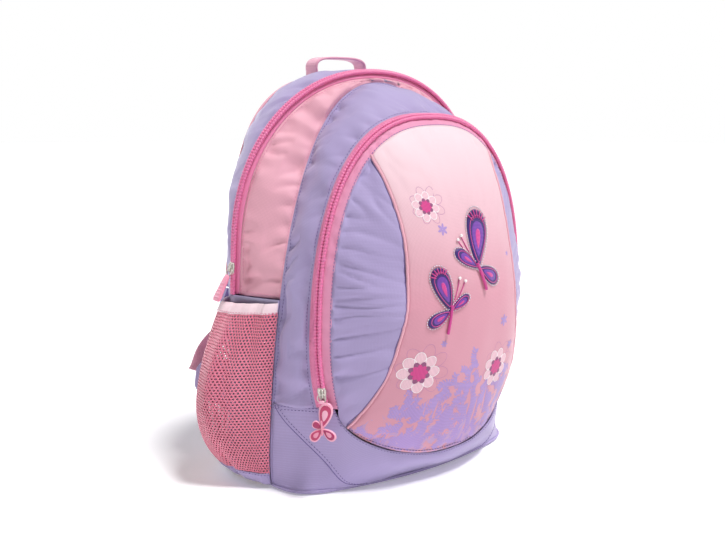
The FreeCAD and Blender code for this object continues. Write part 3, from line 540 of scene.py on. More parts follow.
# ---------------------------------------------------------------- lower side panels
# Behind each side pocket the bag's side is one lavender panel, from the rear gusset to the front band.
for side, label in ((-1, "left"), (1, "right")):
    steps = 62
    rows = []
    for i in range(steps + 1):
        z = BASE_TOP + (GUSSET_FOOT - 0.6 - BASE_TOP) * i / steps
        knots = []
        for key in ("rear", "zip", "gusset"):
            knots.append(Vector((side * half_width(seams[key], z), depth(seams[key], z), z)))
        knots[0] = knots[1] + (knots[0] - knots[1]).normalized() * 9.0
        row = [knots[0].lerp(knots[1], j / 4) for j in range(4)]
        row += [knots[1].lerp(knots[2], j / 16) + Vector((side * 2.0 * math.sin(math.pi * j / 16), 0, 0))
                for j in range(17)]
        rows.append(row)
    panel = Panel("lower_side_cloth_" + label, rows, CLOTH, lavender, lining, gathers(3.0 + side, 2.0, 1.0),
                  out=side)
    fix(panel.piece, "root", "lavender_fabric", "lower_side_panel_" + label)

# ---------------------------------------------------------------- pink gusset
# A pale pink strip joins the main zip to the front band. It is wide at the sides and narrow over the top,
# and its lower ends are tucked into the mouths of the side pockets.
upper = shell_rails(GUSSET_FOOT)
pink_gusset = Panel("pink_gusset_cloth",
                    across_rails([upper["front_tape"], upper["gusset_1"], upper["gusset"]], 2.2),
                    CLOTH, pale_pink, lining, gathers(7.0, 4.6, 5.0, wave=13.0, turned=0.6))
fix(pink_gusset.piece, "bend", "pink_fabric", "front_gusset")
fix(stitches("pink_gusset_stitches", [pink_gusset.line(2.2), pink_gusset.line(2.2, from_end=True),
                                      pink_gusset.row_line(2.5), pink_gusset.row_line(2.5, from_end=True)],
             pink_thread), "bend", "pink_fabric")

# ---------------------------------------------------------------- front band
# The lavender front band frames the front pocket. It is lightly padded, so it stands a little proud between
# its seams, and it is pulled into short creases where the zip tape is sewn to it.
above_yoke = shell_rails(YOKE_TOP + 0.4)
front_band = Panel("front_band_cloth",
                   across_rails([above_yoke["gusset"], above_yoke["band_1"], above_yoke["band_2"],
                                 above_yoke["outer_tape"]], 2.2),
                   CLOTH, lavender, lining, gathers(11.0, 4.6, 4.2, wave=14.0, turned=0.6))
fix(front_band.piece, "bend", "lavender_fabric", "front_band_upper", "front_band_fold", "front_band_lower")
fix(stitches("front_band_stitches", [front_band.line(2.2, from_end=True), front_band.line(2.4)],
             purple_thread), "bend", "lavender_fabric")


# Inside each seam the turned edges of the cloth make a soft cord, which fills the groove.
def seam_cord(name, line, body, material, radius=1.3):
    last = len(line) - 1
    sunk = []
    for i, p in enumerate(line):
        along = line[min(i + 1, last)] - line[max(i - 1, 0)]
        out = Vector((p.x, p.y - 20.0, max(p.z - 200.0, 0.0)))
        out = (out - along * out.dot(along) / along.length_squared).normalized()
        sunk.append((p - out * radius, out))
    fix(tube(name, sunk, radius, material), body, "lavender_fabric")


seam_cord("band_seam_cord", full["gusset"], "bend", lavender)
seam_cord("band_inner_seam_cord", above_yoke["outer_tape"], "bend", lavender, 1.0)
seam_cord("rear_seam_cord", upper["rear_tape"], "root", lavender, 1.0)


# ---------------------------------------------------------------- zips
# Both zips are nylon coil on woven polyester tape. The tape is pale at its edges, and the coil is dyed a
# stronger pink. The coil's turns are 1.4 mm apart and are drawn at 3 mm.
def zip_tape(name, deep, light):
    """Woven tape: fine ribs along its length give it a soft stripe."""
    return woven(name, deep, light, thread=1.1 * MM, rough=0.55, sheen=0.25, relief=0.0003)


def speckled(name, deep, light, grain, finish, detail=2.0, moulded=True, dent=None, dulled=None):
    """A solid-coloured finish that wavers between two tones. grain counts its specks to the metre. Each may
    also dent the face, as (strength, depth), and dull it, as (least, most). A moulded or cast piece is
    patterned through its own space, and a sewn one from its rest place."""
    made, tree = new_material(name)
    if moulded:
        place = node(tree, "ShaderNodeTexCoord").outputs["Object"]
    else:
        place = node(tree, "ShaderNodeAttribute", {"attribute_name": "place"}).outputs["Vector"]
    cloud = node(tree, "ShaderNodeTexNoise", {"Scale": grain, "Detail": detail}, {"Vector": place})
    speck = cloud.outputs["Fac"]
    tone = node(tree, "ShaderNodeMix", {"data_type": "RGBA", 6: colour(deep), 7: colour(light)}, {0: speck})
    feeds = {"Base Color": tone.outputs[2]}
    if dulled:
        dull = node(tree, "ShaderNodeMapRange", {"To Min": dulled[0], "To Max": dulled[1]}, {"Value": speck})
        feeds["Roughness"] = dull.outputs["Result"]
    if dent:
        bump = node(tree, "ShaderNodeBump", {"Strength": dent[0], "Distance": dent[1]}, {"Height": speck})
        feeds["Normal"] = bump.outputs["Normal"]
    shade = node(tree, "ShaderNodeBsdfPrincipled", finish, feeds)
    node(tree, "ShaderNodeOutputMaterial", {}, {"Surface": shade.outputs["BSDF"]})
    return made


tape_pale = zip_tape("pale_zip_tape", "#E28FB4", "#EBA2C2")
tape_pink = zip_tape("pink_zip_tape", "#EA80AD", "#F191BA")
# Polyamide coil, dyed in the mass: a smooth thread that takes a small highlight on each turn.
coil_pink = speckled("pink_nylon_coil", "#DE6A9E", "#EC80AF", 260.0,
                     {"Roughness": 0.38, "IOR": 1.53, "Subsurface Weight": 0.05, "Subsurface Scale": 0.001},
                     moulded=False)


def coil_half(name, line, back, front, offset, body, *nodes):
    """One half of a zip's coil: a ridged cord beside its middle line. back and front run beside the line."""
    last = len(line) - 1
    cord = []
    for i, (point, behind, before) in enumerate(zip(line, back, front)):
        across = (before - behind).normalized()
        out = across.cross(line[min(i + 1, last)] - line[max(i - 1, 0)]).normalized()
        cord.append((point + across * offset + out * 1.2, out))
    fix(tube(name, cord, 1.9, coil_pink, ridge=0.2, pitch=3.0), body, "zip_coil", *nodes)


TAPE = 0.8
tape_edge = towards(upper["main"], upper["rear"], 0.4)
rear_tape = Panel("main_zip_tape_rear_cloth", across_rails([upper["rear_tape"], tape_edge], 1.6), TAPE,
                  tape_pink, tape_pink, gathers(17.0, 0.0, 0.5, turned=0.3))
fix(rear_tape.piece, "root", "zip_tape", "main_zip_tape_rear")
tape_edge = towards(upper["main"], upper["gusset"], 0.4)
front_tape = Panel("main_zip_tape_front_cloth", across_rails([tape_edge, upper["front_tape"]], 1.6), TAPE,
                   tape_pink, tape_pink, gathers(19.0, 0.0, 0.5, turned=0.3))
fix(front_tape.piece, "bend", "zip_tape", "main_zip_tape_front")
coil = upper["main"], upper["rear_tape"], upper["front_tape"]
coil_half("main_zip_coil_rear_cord", *coil, -1.75, "root", "main_zip_coil_rear")
coil_half("main_zip_coil_front_cord", *coil, 1.75, "bend", "main_zip_coil_front")
fix(stitches("main_zip_tape_stitches", [rear_tape.line(2.0)], pink_thread), "root", "zip_tape")

inner_edge = rail(moved_in(seams["pocket"], 7.8), YOKE_TOP + 0.4, pocket_face)
outer_tape = Panel("pocket_zip_tape_outer_cloth",
                   across_rails([above_yoke["outer_tape"], above_yoke["pocket"]], 1.8),
                   TAPE, tape_pink, tape_pink, gathers(23.0, 0.0, 0.9, turned=0.3))
fix(outer_tape.piece, "bend", "zip_tape", "pocket_zip_tape_outer_upper", "pocket_zip_tape_outer_lower",
    "pocket_zip_fold")
inner_tape = Panel("pocket_zip_tape_inner_cloth", across_rails([above_yoke["pocket"], inner_edge], 1.6),
                   TAPE, tape_pale, tape_pale, gathers(29.0, 0.0, 1.1, wave=7.0, turned=0.3))
fix(inner_tape.piece, "bend", "zip_tape", "pocket_zip_tape_inner_upper", "pocket_zip_tape_inner_lower")
coil = above_yoke["pocket"], above_yoke["outer_tape"], inner_edge
coil_half("pocket_zip_coil_outer", *coil, -1.95, "bend", "pocket_zip_coil_upper", "pocket_zip_coil_lower")
coil_half("pocket_zip_coil_inner", *coil, 1.95, "bend")
fix(stitches("pocket_zip_tape_stitches", [outer_tape.line(2.0)], pink_thread), "bend", "zip_tape")
fix(stitches("pocket_edge_stitches", [inner_tape.line(1.2, from_end=True)], purple_thread),
    "bend", "zip_tape")


# ---------------------------------------------------------------- front pocket
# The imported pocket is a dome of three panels: a printed pink middle with a waist, and a lavender crescent on
# each side. Piping is sewn between them, and the cloth is pulled into creases along the zip tape.
POCKET_FLOOR = 31.0
POCKET_FOOT = half_width(moved_in(seams["pocket"], 7.2), YOKE_TOP)


def seam_height(x):
    """Height of the pocket's curved bottom seam."""
    share = min(abs(x) / POCKET_FOOT, 1.0)
    return YOKE_TOP - (YOKE_TOP - POCKET_FLOOR) * (1 - share ** 1.9) ** (1 / 1.9)


def print_edge(z):
    """Half width of the printed middle panel."""
    return 67.5 + 4.4 * ((z - 240.0) / 60.0) ** 2


POCKET_EDGE = moved_in(seams["pocket"], 7.5)


def pocket_half(z):
    """Half width of the cloth inside the zip tape at a height."""
    if z >= YOKE_TOP:
        return half_width(POCKET_EDGE, z)
    share = min(max((YOKE_TOP - z) / (YOKE_TOP - POCKET_FLOOR - 0.5), 0.0), 1.0)
    return half_width(POCKET_EDGE, YOKE_TOP) * (1 - share ** 1.9) ** (1 / 1.9)


def pocket_crown(x):
    """Height of the cloth's upper edge at a distance from the middle."""
    wide, top, power, knee = POCKET_EDGE[:4]
    return knee + (top - knee) * (1 - min(abs(x) / wide, 1.0) ** power) ** (1 / power)


def pocket_relief(x, z):
    """How far the pocket's cloth stands out: creases off the zip, slow folds and turned edges."""
    edge = max(min(pocket_half(z) - abs(x), (pocket_crown(x) - z) * 0.8, (z - seam_height(x)) * 0.9), 0.0)
    turn = math.atan2(z - 190.0, x)
    pull = noise.noise(Vector((turn * 11.0, 3.0, edge / 60))) * math.exp(-edge / 22)
    slow = noise.noise(Vector(((x + 0.6 * z) / 42, (z - 0.4 * x) / 85, 9.0)))
    ripple = noise.noise(Vector((x / 20, z / 34, 5.0)))
    seam = abs(abs(x) - print_edge(z))
    side = 1.0 if abs(x) > print_edge(z) else 0.45
    waist = noise.noise(Vector((z / 9, 2.0, 1.0))) * math.exp(-seam / 12) * 0.9
    turned = -0.7 * (1 - soft(seam / 3.5)) - 0.3 * (1 - soft(edge / 4))
    sharp = max(0.0, 1 - 3.2 * abs(noise.noise(Vector((turn * 8.0, 6.0, edge / 55)))))
    turned -= side * 5.0 * sharp * sharp * math.exp(-edge / 26) * soft(edge / 5)
    return turned + soft(edge / 6) * (4.6 * side * pull + side * (4.0 * slow + 1.4 * ripple)
                                     + soft(seam / 5) * waist)


def pocket_point(x, z, lift=0.0):
    """Point on the pocket's cloth with its relief."""
    return Vector((x, pocket_face(x, z) - pocket_relief(x, z) - lift, z))


def pocket_out(x, z):
    """Way out of the pocket's face at a point."""
    step = 2.0
    across = Vector((2 * step, pocket_face(x + step, z) - pocket_face(x - step, z), 0))
    along = Vector((0, pocket_face(x, z + step) - pocket_face(x, z - step), 2 * step))
    return across.cross(along).normalized()


def on_pocket(x, z, lift):
    """Point and normal on the pocket's cloth."""
    return pocket_point(x, z, lift), pocket_out(x, z)


PRINT_WIDE, PRINT_HIGH = 140.0, 300.0
CRESCENT_WIDE, CRESCENT_HIGH = 56.0, 330.0


def print_rows(step):
    """Grid over the printed panel, column by column from its bottom seam to the zip."""
    columns, count = round(PRINT_WIDE / step), round(PRINT_HIGH / step)
    rows = [[] for _ in range(count + 1)]
    for j in range(columns + 1):
        share = 2 * j / columns - 1
        for i in range(count + 1):
            x = share * PRINT_WIDE / 2
            for _ in range(6):
                low, high = seam_height(x) + 1.0, pocket_crown(x)
                z = low + (high - low) * i / count
                x = share * (print_edge(z) - 0.4)
            rows[i].append(pocket_point(x, z))
    return rows


def crescent_rows(side, step):
    """Grid over a lavender crescent, from the piping out to the zip, pointed at both ends."""
    low, high = POCKET_FLOOR + 1.0, POCKET_EDGE[1] - 0.5
    def room(z):
        return pocket_half(z) - print_edge(z) - 0.4
    heights = []
    for start, end in ((YOKE_TOP, low), (YOKE_TOP, high)):
        inside, outside = start, end
        for _ in range(40):
            middle = (inside + outside) / 2
            if room(middle) > 0:
                inside = middle
            else:
                outside = middle
        heights.append(inside)
    low, high = heights
    fine = [low + (high - low) * i / 600 for i in range(601)]
    levels = [p.z for p in even([Vector((pocket_half(z), 0, z)) for z in fine], round(CRESCENT_HIGH / step))]
    columns = round(CRESCENT_WIDE / step)
    rows = []
    for z in levels:
        inner, outer = print_edge(z) + 0.4, max(pocket_half(z), print_edge(z) + 0.42)
        line = [inner + (outer - inner) * j / columns for j in range(columns + 1)]
        xs = line if side > 0 else [-x for x in reversed(line)]
        rows.append([pocket_point(x, z) for x in xs])
    return rows


def printed(tree, place, base):
    """The print, with painted shade: the pink is painted darker towards the bottom, where a lilac foliage
    pattern covers it.
    """
    split = node(tree, "ShaderNodeSeparateXYZ", {}, {"Vector": place.outputs["Vector"]})
    # Painted shade: the pink runs from pale at the top of the panel to darker at the bottom, standing in for
    # less light falling low down.
    height = node(tree, "ShaderNodeMapRange", {"From Min": 0.345, "From Max": 0.19},
                  {"Value": split.outputs["Z"]})
    painted_shade_fade = node(tree, "ShaderNodeMix", {"data_type": "RGBA", 6: colour("#F6DBE2"), 7: colour("#DC9CAD")},
                {0: height.outputs["Result"]})
    clumps = node(tree, "ShaderNodeTexNoise",
                  {"Scale": 60.0, "Detail": 4.0, "Roughness": 0.7, "Distortion": 1.2},
                  {"Vector": place.outputs["Vector"]})
    reach = node(tree, "ShaderNodeMapRange",
                 {"From Min": 0.115, "From Max": 0.05, "To Min": -0.42, "To Max": 0.02},
                 {"Value": split.outputs["Z"]})
    mass = node(tree, "ShaderNodeMath", {"operation": "ADD"},
                {0: clumps.outputs["Fac"], 1: reach.outputs["Result"]})
    crisp = node(tree, "ShaderNodeMapRange", {"From Min": 0.46, "From Max": 0.5, "To Max": 0.85},
                 {"Value": mass.outputs["Value"]})
    ink = node(tree, "ShaderNodeMix", {"data_type": "RGBA", 7: colour("#BFA0D0")},
               {0: crisp.outputs["Result"], 6: painted_shade_fade.outputs[2]})
    dyed = node(tree, "ShaderNodeMix", {"data_type": "RGBA", "blend_type": "MULTIPLY", 0: 0.12},
                {6: ink.outputs[2], 7: base})
    return dyed.outputs[2]


# The printed pink panel carries painted shade that darkens it towards the bottom.
print_cloth = woven("printed_pink_polyester_with_painted_shade", "#F2D2DA", "#FFFFFF", rough=0.55, sheen=0.3, extra=printed)
middle = Panel("pocket_print_cloth", print_rows(2.4), CLOTH, print_cloth, lining)
fix(middle.piece, "bend", "printed_fabric", "pocket_panel_center_upper", "pocket_panel_center_lower",
    "pocket_panel_fold")
for side, label in ((-1, "left"), (1, "right")):
    crescent = Panel("pocket_crescent_" + label, crescent_rows(side, 2.4), CLOTH, lavender, lining)
    fix(crescent.piece, "bend", "lavender_fabric", "pocket_panel_%s_upper" % label,
        "pocket_panel_%s_lower" % label)

# Piping is a thin cord inside a folded strip of pink cloth. A dark purple thread runs along its outside.
for side, label in ((-1, "left"), (1, "right")):
    heights = [p[-1 if side > 0 else 0].z for p in middle.rows]
    line = [on_pocket(side * print_edge(z), z, 0.1) for z in heights]
    fix(tube("pocket_piping_" + label, line, 1.35, pale_pink), "bend", "pink_fabric")
    beside = [on_pocket(side * (print_edge(z) + 1.7), z, 0.1) for z in heights
              if abs(side * (print_edge(z) + 1.7)) < pocket_half(z) - 0.5]
    fix(tube("pocket_piping_thread_" + label, beside, 0.35, purple_thread, sides=6),
        "bend", "lavender_fabric")
lower = [on_pocket(p.x, p.z, 0.3) for p in middle.rows[1]]
fix(stitches("pocket_bottom_stitches", [lower], purple_thread), "bend", "printed_fabric")

# ---------------------------------------------------------------- yoke
# The lavender yoke closes the bag's lower front, from one side pocket round to the other. A curved seam on
# each side joins its corner piece to its front piece, and its top edge is double-stitched to the front band.
BASE_CORNER, BASE_FRONT, BASE_BOW = 146.0, -62.0, 18.0
SIDE_STEPS, FRONT_STEPS = 14, 44      # points from the gusset seam to the pocket's, and on to the middle
YOKE_LEVELS, YOKE_ROWS = 40, 30


def yoke_face(x, z):
    """Depth of the lower front, which curves in from the pocket's bottom seam to the base."""
    level = max(z, seam_height(x))
    foot = BASE_FRONT - BASE_BOW * (1 - min(abs(x) / (BASE_CORNER - 1.0), 1.0) ** 2)
    if z >= level:
        return pocket_face(x, z)
    return foot + (pocket_face(x, level) - foot) * math.sin(math.pi / 2 * z / level)


def yoke_line(z):
    """Outer line of one level of the yoke, from the left gusset seam round the front to the right."""
    a = Vector((-half_width(seams["gusset"], z), depth(seams["gusset"], z), z))
    b = Vector((-half_width(seams["pocket"], z) - 2.0, depth(seams["pocket"], z) + 6.0, z))
    b = b.lerp(Vector((-BASE_CORNER + 1.0, BASE_FRONT + 4.0, z)), (1 - z / YOKE_TOP) ** 2)
    half = []
    for i in range(SIDE_STEPS):
        share = i / SIDE_STEPS
        swell = 4.0 * math.sin(math.pi * share)
        half.append(a.lerp(b, share) + Vector((-swell, -swell / 2, 0)))
    for i in range(FRONT_STEPS):
        x = b.x * (1 - i / FRONT_STEPS) * 0.985
        half.append(Vector((x, yoke_face(x, z), z)))
    middle = [Vector((0, yoke_face(0.0, z), z))]
    line = half + middle + [Vector((-p.x, p.y, p.z)) for p in reversed(half)]
    for _ in range(14 + round(70 * (1 - z / YOKE_TOP))):
        line = [line[0]] + [(p + q * 2 + r) / 4 for p, q, r in zip(line, line[1:], line[2:])] + [line[-1]]
    return line


yoke_levels = [yoke_line(BASE_TOP + (YOKE_TOP - BASE_TOP) * i / YOKE_LEVELS)
               for i in range(YOKE_LEVELS + 1)]


def yoke_point(j, z):
    """Point of one column of the yoke at a height."""
    t = min(max((z - BASE_TOP) / (YOKE_TOP - BASE_TOP), 0.0), 1.0) * YOKE_LEVELS
    k = min(int(t), YOKE_LEVELS - 1)
    return yoke_levels[k][j].lerp(yoke_levels[k + 1][j], t - k)


yoke_rows = [[] for _ in range(YOKE_ROWS + 1)]
for j in range(len(yoke_levels[0])):
    low, high = BASE_TOP, YOKE_TOP
    for _ in range(30):
        z = (low + high) / 2
        x = abs(yoke_point(j, z).x)
        top = seam_height(x) if x < POCKET_FOOT else YOKE_TOP + 1
        if z < top:
            low = z
        else:
            high = z
    for i, row in enumerate(yoke_rows):
        row.append(yoke_point(j, BASE_TOP + (low - BASE_TOP) * i / YOKE_ROWS))


yoke = Panel("front_yoke_cloth", yoke_rows, CLOTH, lavender, lining, gathers(31.0, 3.4, 2.2, turned=0.5))
fix(yoke.piece, "root", "lavender_fabric", "front_yoke")


def yoke_spot(j, z):
    """Point and normal on the finished yoke at a column, which may fall between two, and a height."""
    found = []
    for column in (int(j), min(int(j) + 1, len(yoke.rows[0]) - 1)):
        i = 0
        while i < len(yoke.rows) - 2 and yoke.rows[i + 1][column].z < z:
            i += 1
        a, b = yoke.rows[i][column], yoke.rows[i + 1][column]
        t = min(max((z - a.z) / max(b.z - a.z, 1e-6), 0.0), 1.0)
        found.append((a.lerp(b, t), yoke.normals[i][column].lerp(yoke.normals[i + 1][column], t)))
    t = j - int(j)
    return found[0][0].lerp(found[1][0], t), found[0][1].lerp(found[1][1], t).normalized()


last_column = len(yoke.rows[0]) - 1
corner_lines = []
for mirrored in (False, True):
    for shift in (0.0, 1.1):
        line = []
        for i in range(61):
            share = i / 60
            j = 1.0 + shift + 32.5 * share
            z = 86.0 - 82.0 * (1 - (1 - share) ** 2.1)
            line.append(yoke_spot(last_column - j if mirrored else j, z))
        corner_lines.append(line)
for k, label in ((0, "left"), (2, "right")):
    fix(tube("yoke_corner_seam_" + label, [(p - n * 0.25, n) for p, n in corner_lines[k]], 0.55,
             purple_thread, sides=6), "root", "lavender_fabric")
top_lines = []
for start, end in ((0, 17), (last_column - 17, last_column)):
    for drop in (1.6, 4.6):
        top_lines.append([yoke_spot(j, yoke.rows[-1][j].z - drop) for j in range(start, end + 1)])
pocket_line = [yoke_spot(j, yoke.rows[-1][j].z - 1.6) for j in range(17, last_column - 16)]
fix(stitches("yoke_stitches", [corner_lines[1], corner_lines[3], pocket_line, *top_lines], purple_thread),
    "root", "lavender_fabric")

# ---------------------------------------------------------------- side pockets
# Each side pocket is a gathered bag of pink warp-knit mesh. Its holes are 3.4 mm apart and staggered, and it
# is pleated into the base seam. Pale pink elastic binding holds its mouth close to the bag's side.
MESH_FULL, MESH_TOP, MESH_TOP_REAR = 83.0, 184.0, 176.0
MESH_BULGE, MESH_MOUTH, MESH_FOOT = 58.0, 25.0, 11.0
BINDING_HIGH = 10.0
MESH_LOW = 15.0
LEVEL_STEP = 3      # levels of a side pocket are worked out this far apart


def mesh_material():
    """Polyester mesh: fine bright filaments, so the pink is strong and catches long soft highlights."""
    made, tree = new_material("pink_polyester_mesh")
    place = node(tree, "ShaderNodeAttribute", {"attribute_name": "place"})
    knit = node(tree, "ShaderNodeTexNoise", {"Scale": 900.0, "Detail": 2.0},
                {"Vector": place.outputs["Vector"]})
    cloud = node(tree, "ShaderNodeTexNoise", {"Scale": 20.0}, {"Vector": place.outputs["Vector"]})
    tone = node(tree, "ShaderNodeMix", {"data_type": "RGBA", 6: colour("#D76C86"), 7: colour("#E6829A")},
                {0: cloud.outputs["Fac"]})
    bump = node(tree, "ShaderNodeBump", {"Strength": 0.5, "Distance": 0.0002},
                {"Height": knit.outputs["Fac"]})
    shade = node(tree, "ShaderNodeBsdfPrincipled",
                 {"Roughness": 0.45, "Sheen Weight": 0.5, "Sheen Roughness": 0.35},
                 {"Base Color": tone.outputs[2], "Normal": bump.outputs["Normal"]})
    node(tree, "ShaderNodeOutputMaterial", {}, {"Surface": shade.outputs["BSDF"]})
    return made


mesh_pink = mesh_material()
elastic_pink = woven("pale_pink_elastic", "#FADAE3", "#FDE6EC", thread=1.0 * MM, rough=0.6, sheen=0.4)


def mouth_height(y):
    """Height of a side pocket's mouth, which slopes down to the back."""
    front = depth(seams["gusset"], MESH_TOP)
    return MESH_TOP + (MESH_TOP_REAR - MESH_TOP) * (y - front) / (70.0 - front)


def pocket_level(side, z, count):
    """Outer line of a side pocket at one level, from the gusset seam back to the rear seam."""
    a = Vector((side * (half_width(seams["gusset"], z) + 1.9), depth(seams["gusset"], z) - 1.2, z))
    b = Vector((side * (half_width(seams["rear"], z) + 1.5), depth(seams["rear"], z) - 1.0, z))
    if z < MESH_FULL:
        share = (MESH_FULL - z) / MESH_FULL
        bulge = MESH_FOOT + (MESH_BULGE - MESH_FOOT) * (1 - share ** 2) ** 0.9
    else:
        share = min((z - MESH_FULL) / (MESH_TOP - MESH_FULL), 1.0)
        bulge = MESH_MOUTH + (MESH_BULGE - MESH_MOUTH) * math.cos(math.pi / 2 * share)
    line = []
    for i in range(81):
        share = i / 80
        wave = math.sin(math.pi * share)
        line.append(a.lerp(b, share) + Vector((side * bulge * wave ** 0.75, 5.0 * wave, 0)))
    line = even(line, count)
    pleats = soft((70 - z) / 70) + 0.7 * soft((z - 120) / 60)
    shaped = []
    for i, p in enumerate(line):
        share = i / (count - 1)
        inside = soft(min(share, 1 - share) * 12)
        fold = -8.0 * math.exp(-((share - 0.63 - 0.0006 * z) / 0.035) ** 2) * soft((95 - z) / 90)
        fold -= 4.5 * math.exp(-((share - 0.38 + 0.0004 * z) / 0.03) ** 2) * soft((60 - z) / 60)
        ripple = noise.noise(Vector((share * 9.0, z / 120, side * 3.0)))
        fine = noise.noise(Vector((share * 26.0, z / 60, side * 5.0)))
        shaped.append(p + Vector((side, 0, 0)) * inside * (fold + 4.6 * ripple - 0.6 + 1.8 * pleats * fine))
    return shaped


def hex_mesh(name, rows, out, pitch_count, high_count, thick, hole):
    """A sheet of staggered six-sided cells, each with a hole, laid over a grid of rows."""
    normals = grid_normals(rows, out)
    high, wide = len(rows) - 1, len(rows[0]) - 1

    def spot(u, v):
        s, t = min(max(u, 0.0), 1.0) * wide, min(max(v, 0.0), 1.0) * high
        j, i = min(int(s), wide - 1), min(int(t), high - 1)
        s, t = s - j, t - i
        p = rows[i][j].lerp(rows[i][j + 1], s).lerp(rows[i + 1][j].lerp(rows[i + 1][j + 1], s), t)
        return p, normals[i][j].lerp(normals[i + 1][j + 1], 0.5).normalized()

    verts, faces, shared = [], [], {}

    def corner(u, v, layer):
        key = (round(min(max(u, 0.0), 1.0) * 40000), round(min(max(v, 0.0), 1.0) * 40000), layer)
        if key not in shared:
            p, n = spot(u, v)
            shared[key] = len(verts)
            verts.append(p - n * thick * layer)
        return shared[key]

    def add(corners, layer):
        kept = [c for k, c in enumerate(corners) if c != corners[k - 1]]
        if len(kept) > 2:
            faces.append(kept if (out > 0) == (layer == 0) else kept[::-1])

    du, dv = 1.0 / pitch_count, 1.0 / (high_count - 1 / 3)
    for row in range(high_count):
        for column in range(pitch_count + row % 2):
            cu = (column + 0.5 - 0.5 * (row % 2)) * du
            cv = (row + 1 / 3) * dv
            shape = [(0.5, 1 / 3), (0.0, 2 / 3), (-0.5, 1 / 3), (-0.5, -1 / 3), (0.0, -2 / 3), (0.5, -1 / 3)]
            rims = []
            for layer in (0, 1):
                ring = [corner(cu + a * du, cv + b * dv, layer) for a, b in shape]
                rim = []
                for a, b in shape:
                    p, n = spot(cu + a * du * hole, cv + b * dv * hole)
                    rim.append(len(verts))
                    verts.append(p - n * thick * (0.1 + 0.8 * layer))
                for k in range(6):
                    add([ring[k], ring[(k + 1) % 6], rim[(k + 1) % 6], rim[k]][::-1], layer)
                rims.append(rim)
            for k in range(6):
                add([rims[0][k], rims[0][(k + 1) % 6], rims[1][(k + 1) % 6], rims[1][k]][::-1], 0)
    return mesh_object(name, verts, faces, [mesh_pink])


for side, label in ((-1, "left"), (1, "right")):
    levels = 60
    columns = 61
    heights = [[MESH_LOW + (mouth_height(p.y) - BINDING_HIGH + 1.5 - MESH_LOW) * i / levels
                for p in pocket_level(side, MESH_TOP - 8.0, columns)] for i in range(levels + 1)]
    outlines = [pocket_level(side, max(z, 3.2), columns) for z in range(0, 190, LEVEL_STEP)]

    def pocket_spot(j, z):
        """Point of one column of the side pocket at a height."""
        k = min(int(z / LEVEL_STEP), len(outlines) - 3)
        return outlines[k][j].lerp(outlines[k + 1][j], (z - k * LEVEL_STEP) / LEVEL_STEP)

    mesh_rows = [[pocket_spot(j, heights[i][j]) for j in range(columns)] for i in range(levels + 1)]
    piece = hex_mesh("side_pocket_mesh_" + label, mesh_rows, side, 46, 58, 0.8, 0.57)
    fix(piece, "root", "mesh", "side_pocket_" + label)
    foot = [[pocket_spot(j, BASE_TOP + (MESH_LOW + 1.0 - BASE_TOP) * i / 7) + Vector((side * 0.6, 0, 0))
             for j in range(columns)] for i in range(8)]
    welt = Panel("side_pocket_welt_" + label, foot, 1.2, lavender, lining,
                 gathers(61.0 + side, 1.2, 0.6, turned=0.4), out=side)
    fix(welt.piece, "root", "lavender_fabric")
    fix(stitches("side_pocket_welt_stitches_" + label, [welt.row_line(2.0, from_end=True)], purple_thread),
        "root", "lavender_fabric")
    mouth = []
    for i in range(9):
        drop = BINDING_HIGH * (1 - i / 8)
        mouth.append([pocket_spot(j, heights[-1][j] - 1.5 + BINDING_HIGH - drop) + Vector((side * 0.7, 0, 0))
                      for j in range(columns)])

    def elastic(point, along, across, width):
        """Elastic is drawn in, so it has fine upright ribs and rounded edges."""
        edge = min(along, BINDING_HIGH - along)
        uneven = 0.25 * noise.noise(Vector((across / 9, along / 9, side)))
        return 0.18 * math.sin(across * 2.4) + uneven - 0.6 * (1 - soft(edge / 2.0))

    binding = Panel("side_pocket_elastic_" + label, mouth, 2.0, elastic_pink, elastic_pink, elastic, out=side)
    fix(binding.piece, "root", "elastic", "side_pocket_binding_" + label)
    fix(stitches("side_pocket_stitches_" + label, [binding.row_line(1.8)], pink_thread), "root", "elastic")

# ---------------------------------------------------------------- base
# The base is a lavender panel over a stiff board. Its edge is turned up a little all round, where it is sewn
# to the yoke, the side panels and the back.
def closed_outline(corners, radius, step=3.0):
    """Points round a plan outline with its corners rounded off."""
    points = []
    count = len(corners)
    for k, (x, y) in enumerate(corners):
        p = Vector((x, y, 0))
        a = Vector((*corners[k - 1], 0))
        b = Vector((*corners[(k + 1) % count], 0))
        r = min(radius, (a - p).length / 2.2, (b - p).length / 2.2)
        start, end = p + (a - p).normalized() * r, p + (b - p).normalized() * r
        points += [start.lerp(p, t / 6).lerp(p.lerp(end, t / 6), t / 6) for t in range(7)]
    length = sum((b - a).length for a, b in zip(points, points[1:] + points[:1]))
    return even(points + points[:1], round(length / step) + 1)[:-1]


def pull_in(loop, distance):
    """A closed loop in the XY plane moved in by a distance."""
    count = len(loop)
    area = sum(a.x * b.y - a.y * b.x for a, b in zip(loop, loop[1:] + loop[:1]))
    turn = 1.0 if area > 0 else -1.0
    moved = []
    for i, p in enumerate(loop):
        step = loop[(i + 1) % count] - loop[i - 1]
        moved.append(p + Vector((-step.y, step.x, 0)).normalized() * distance * turn)
    return moved


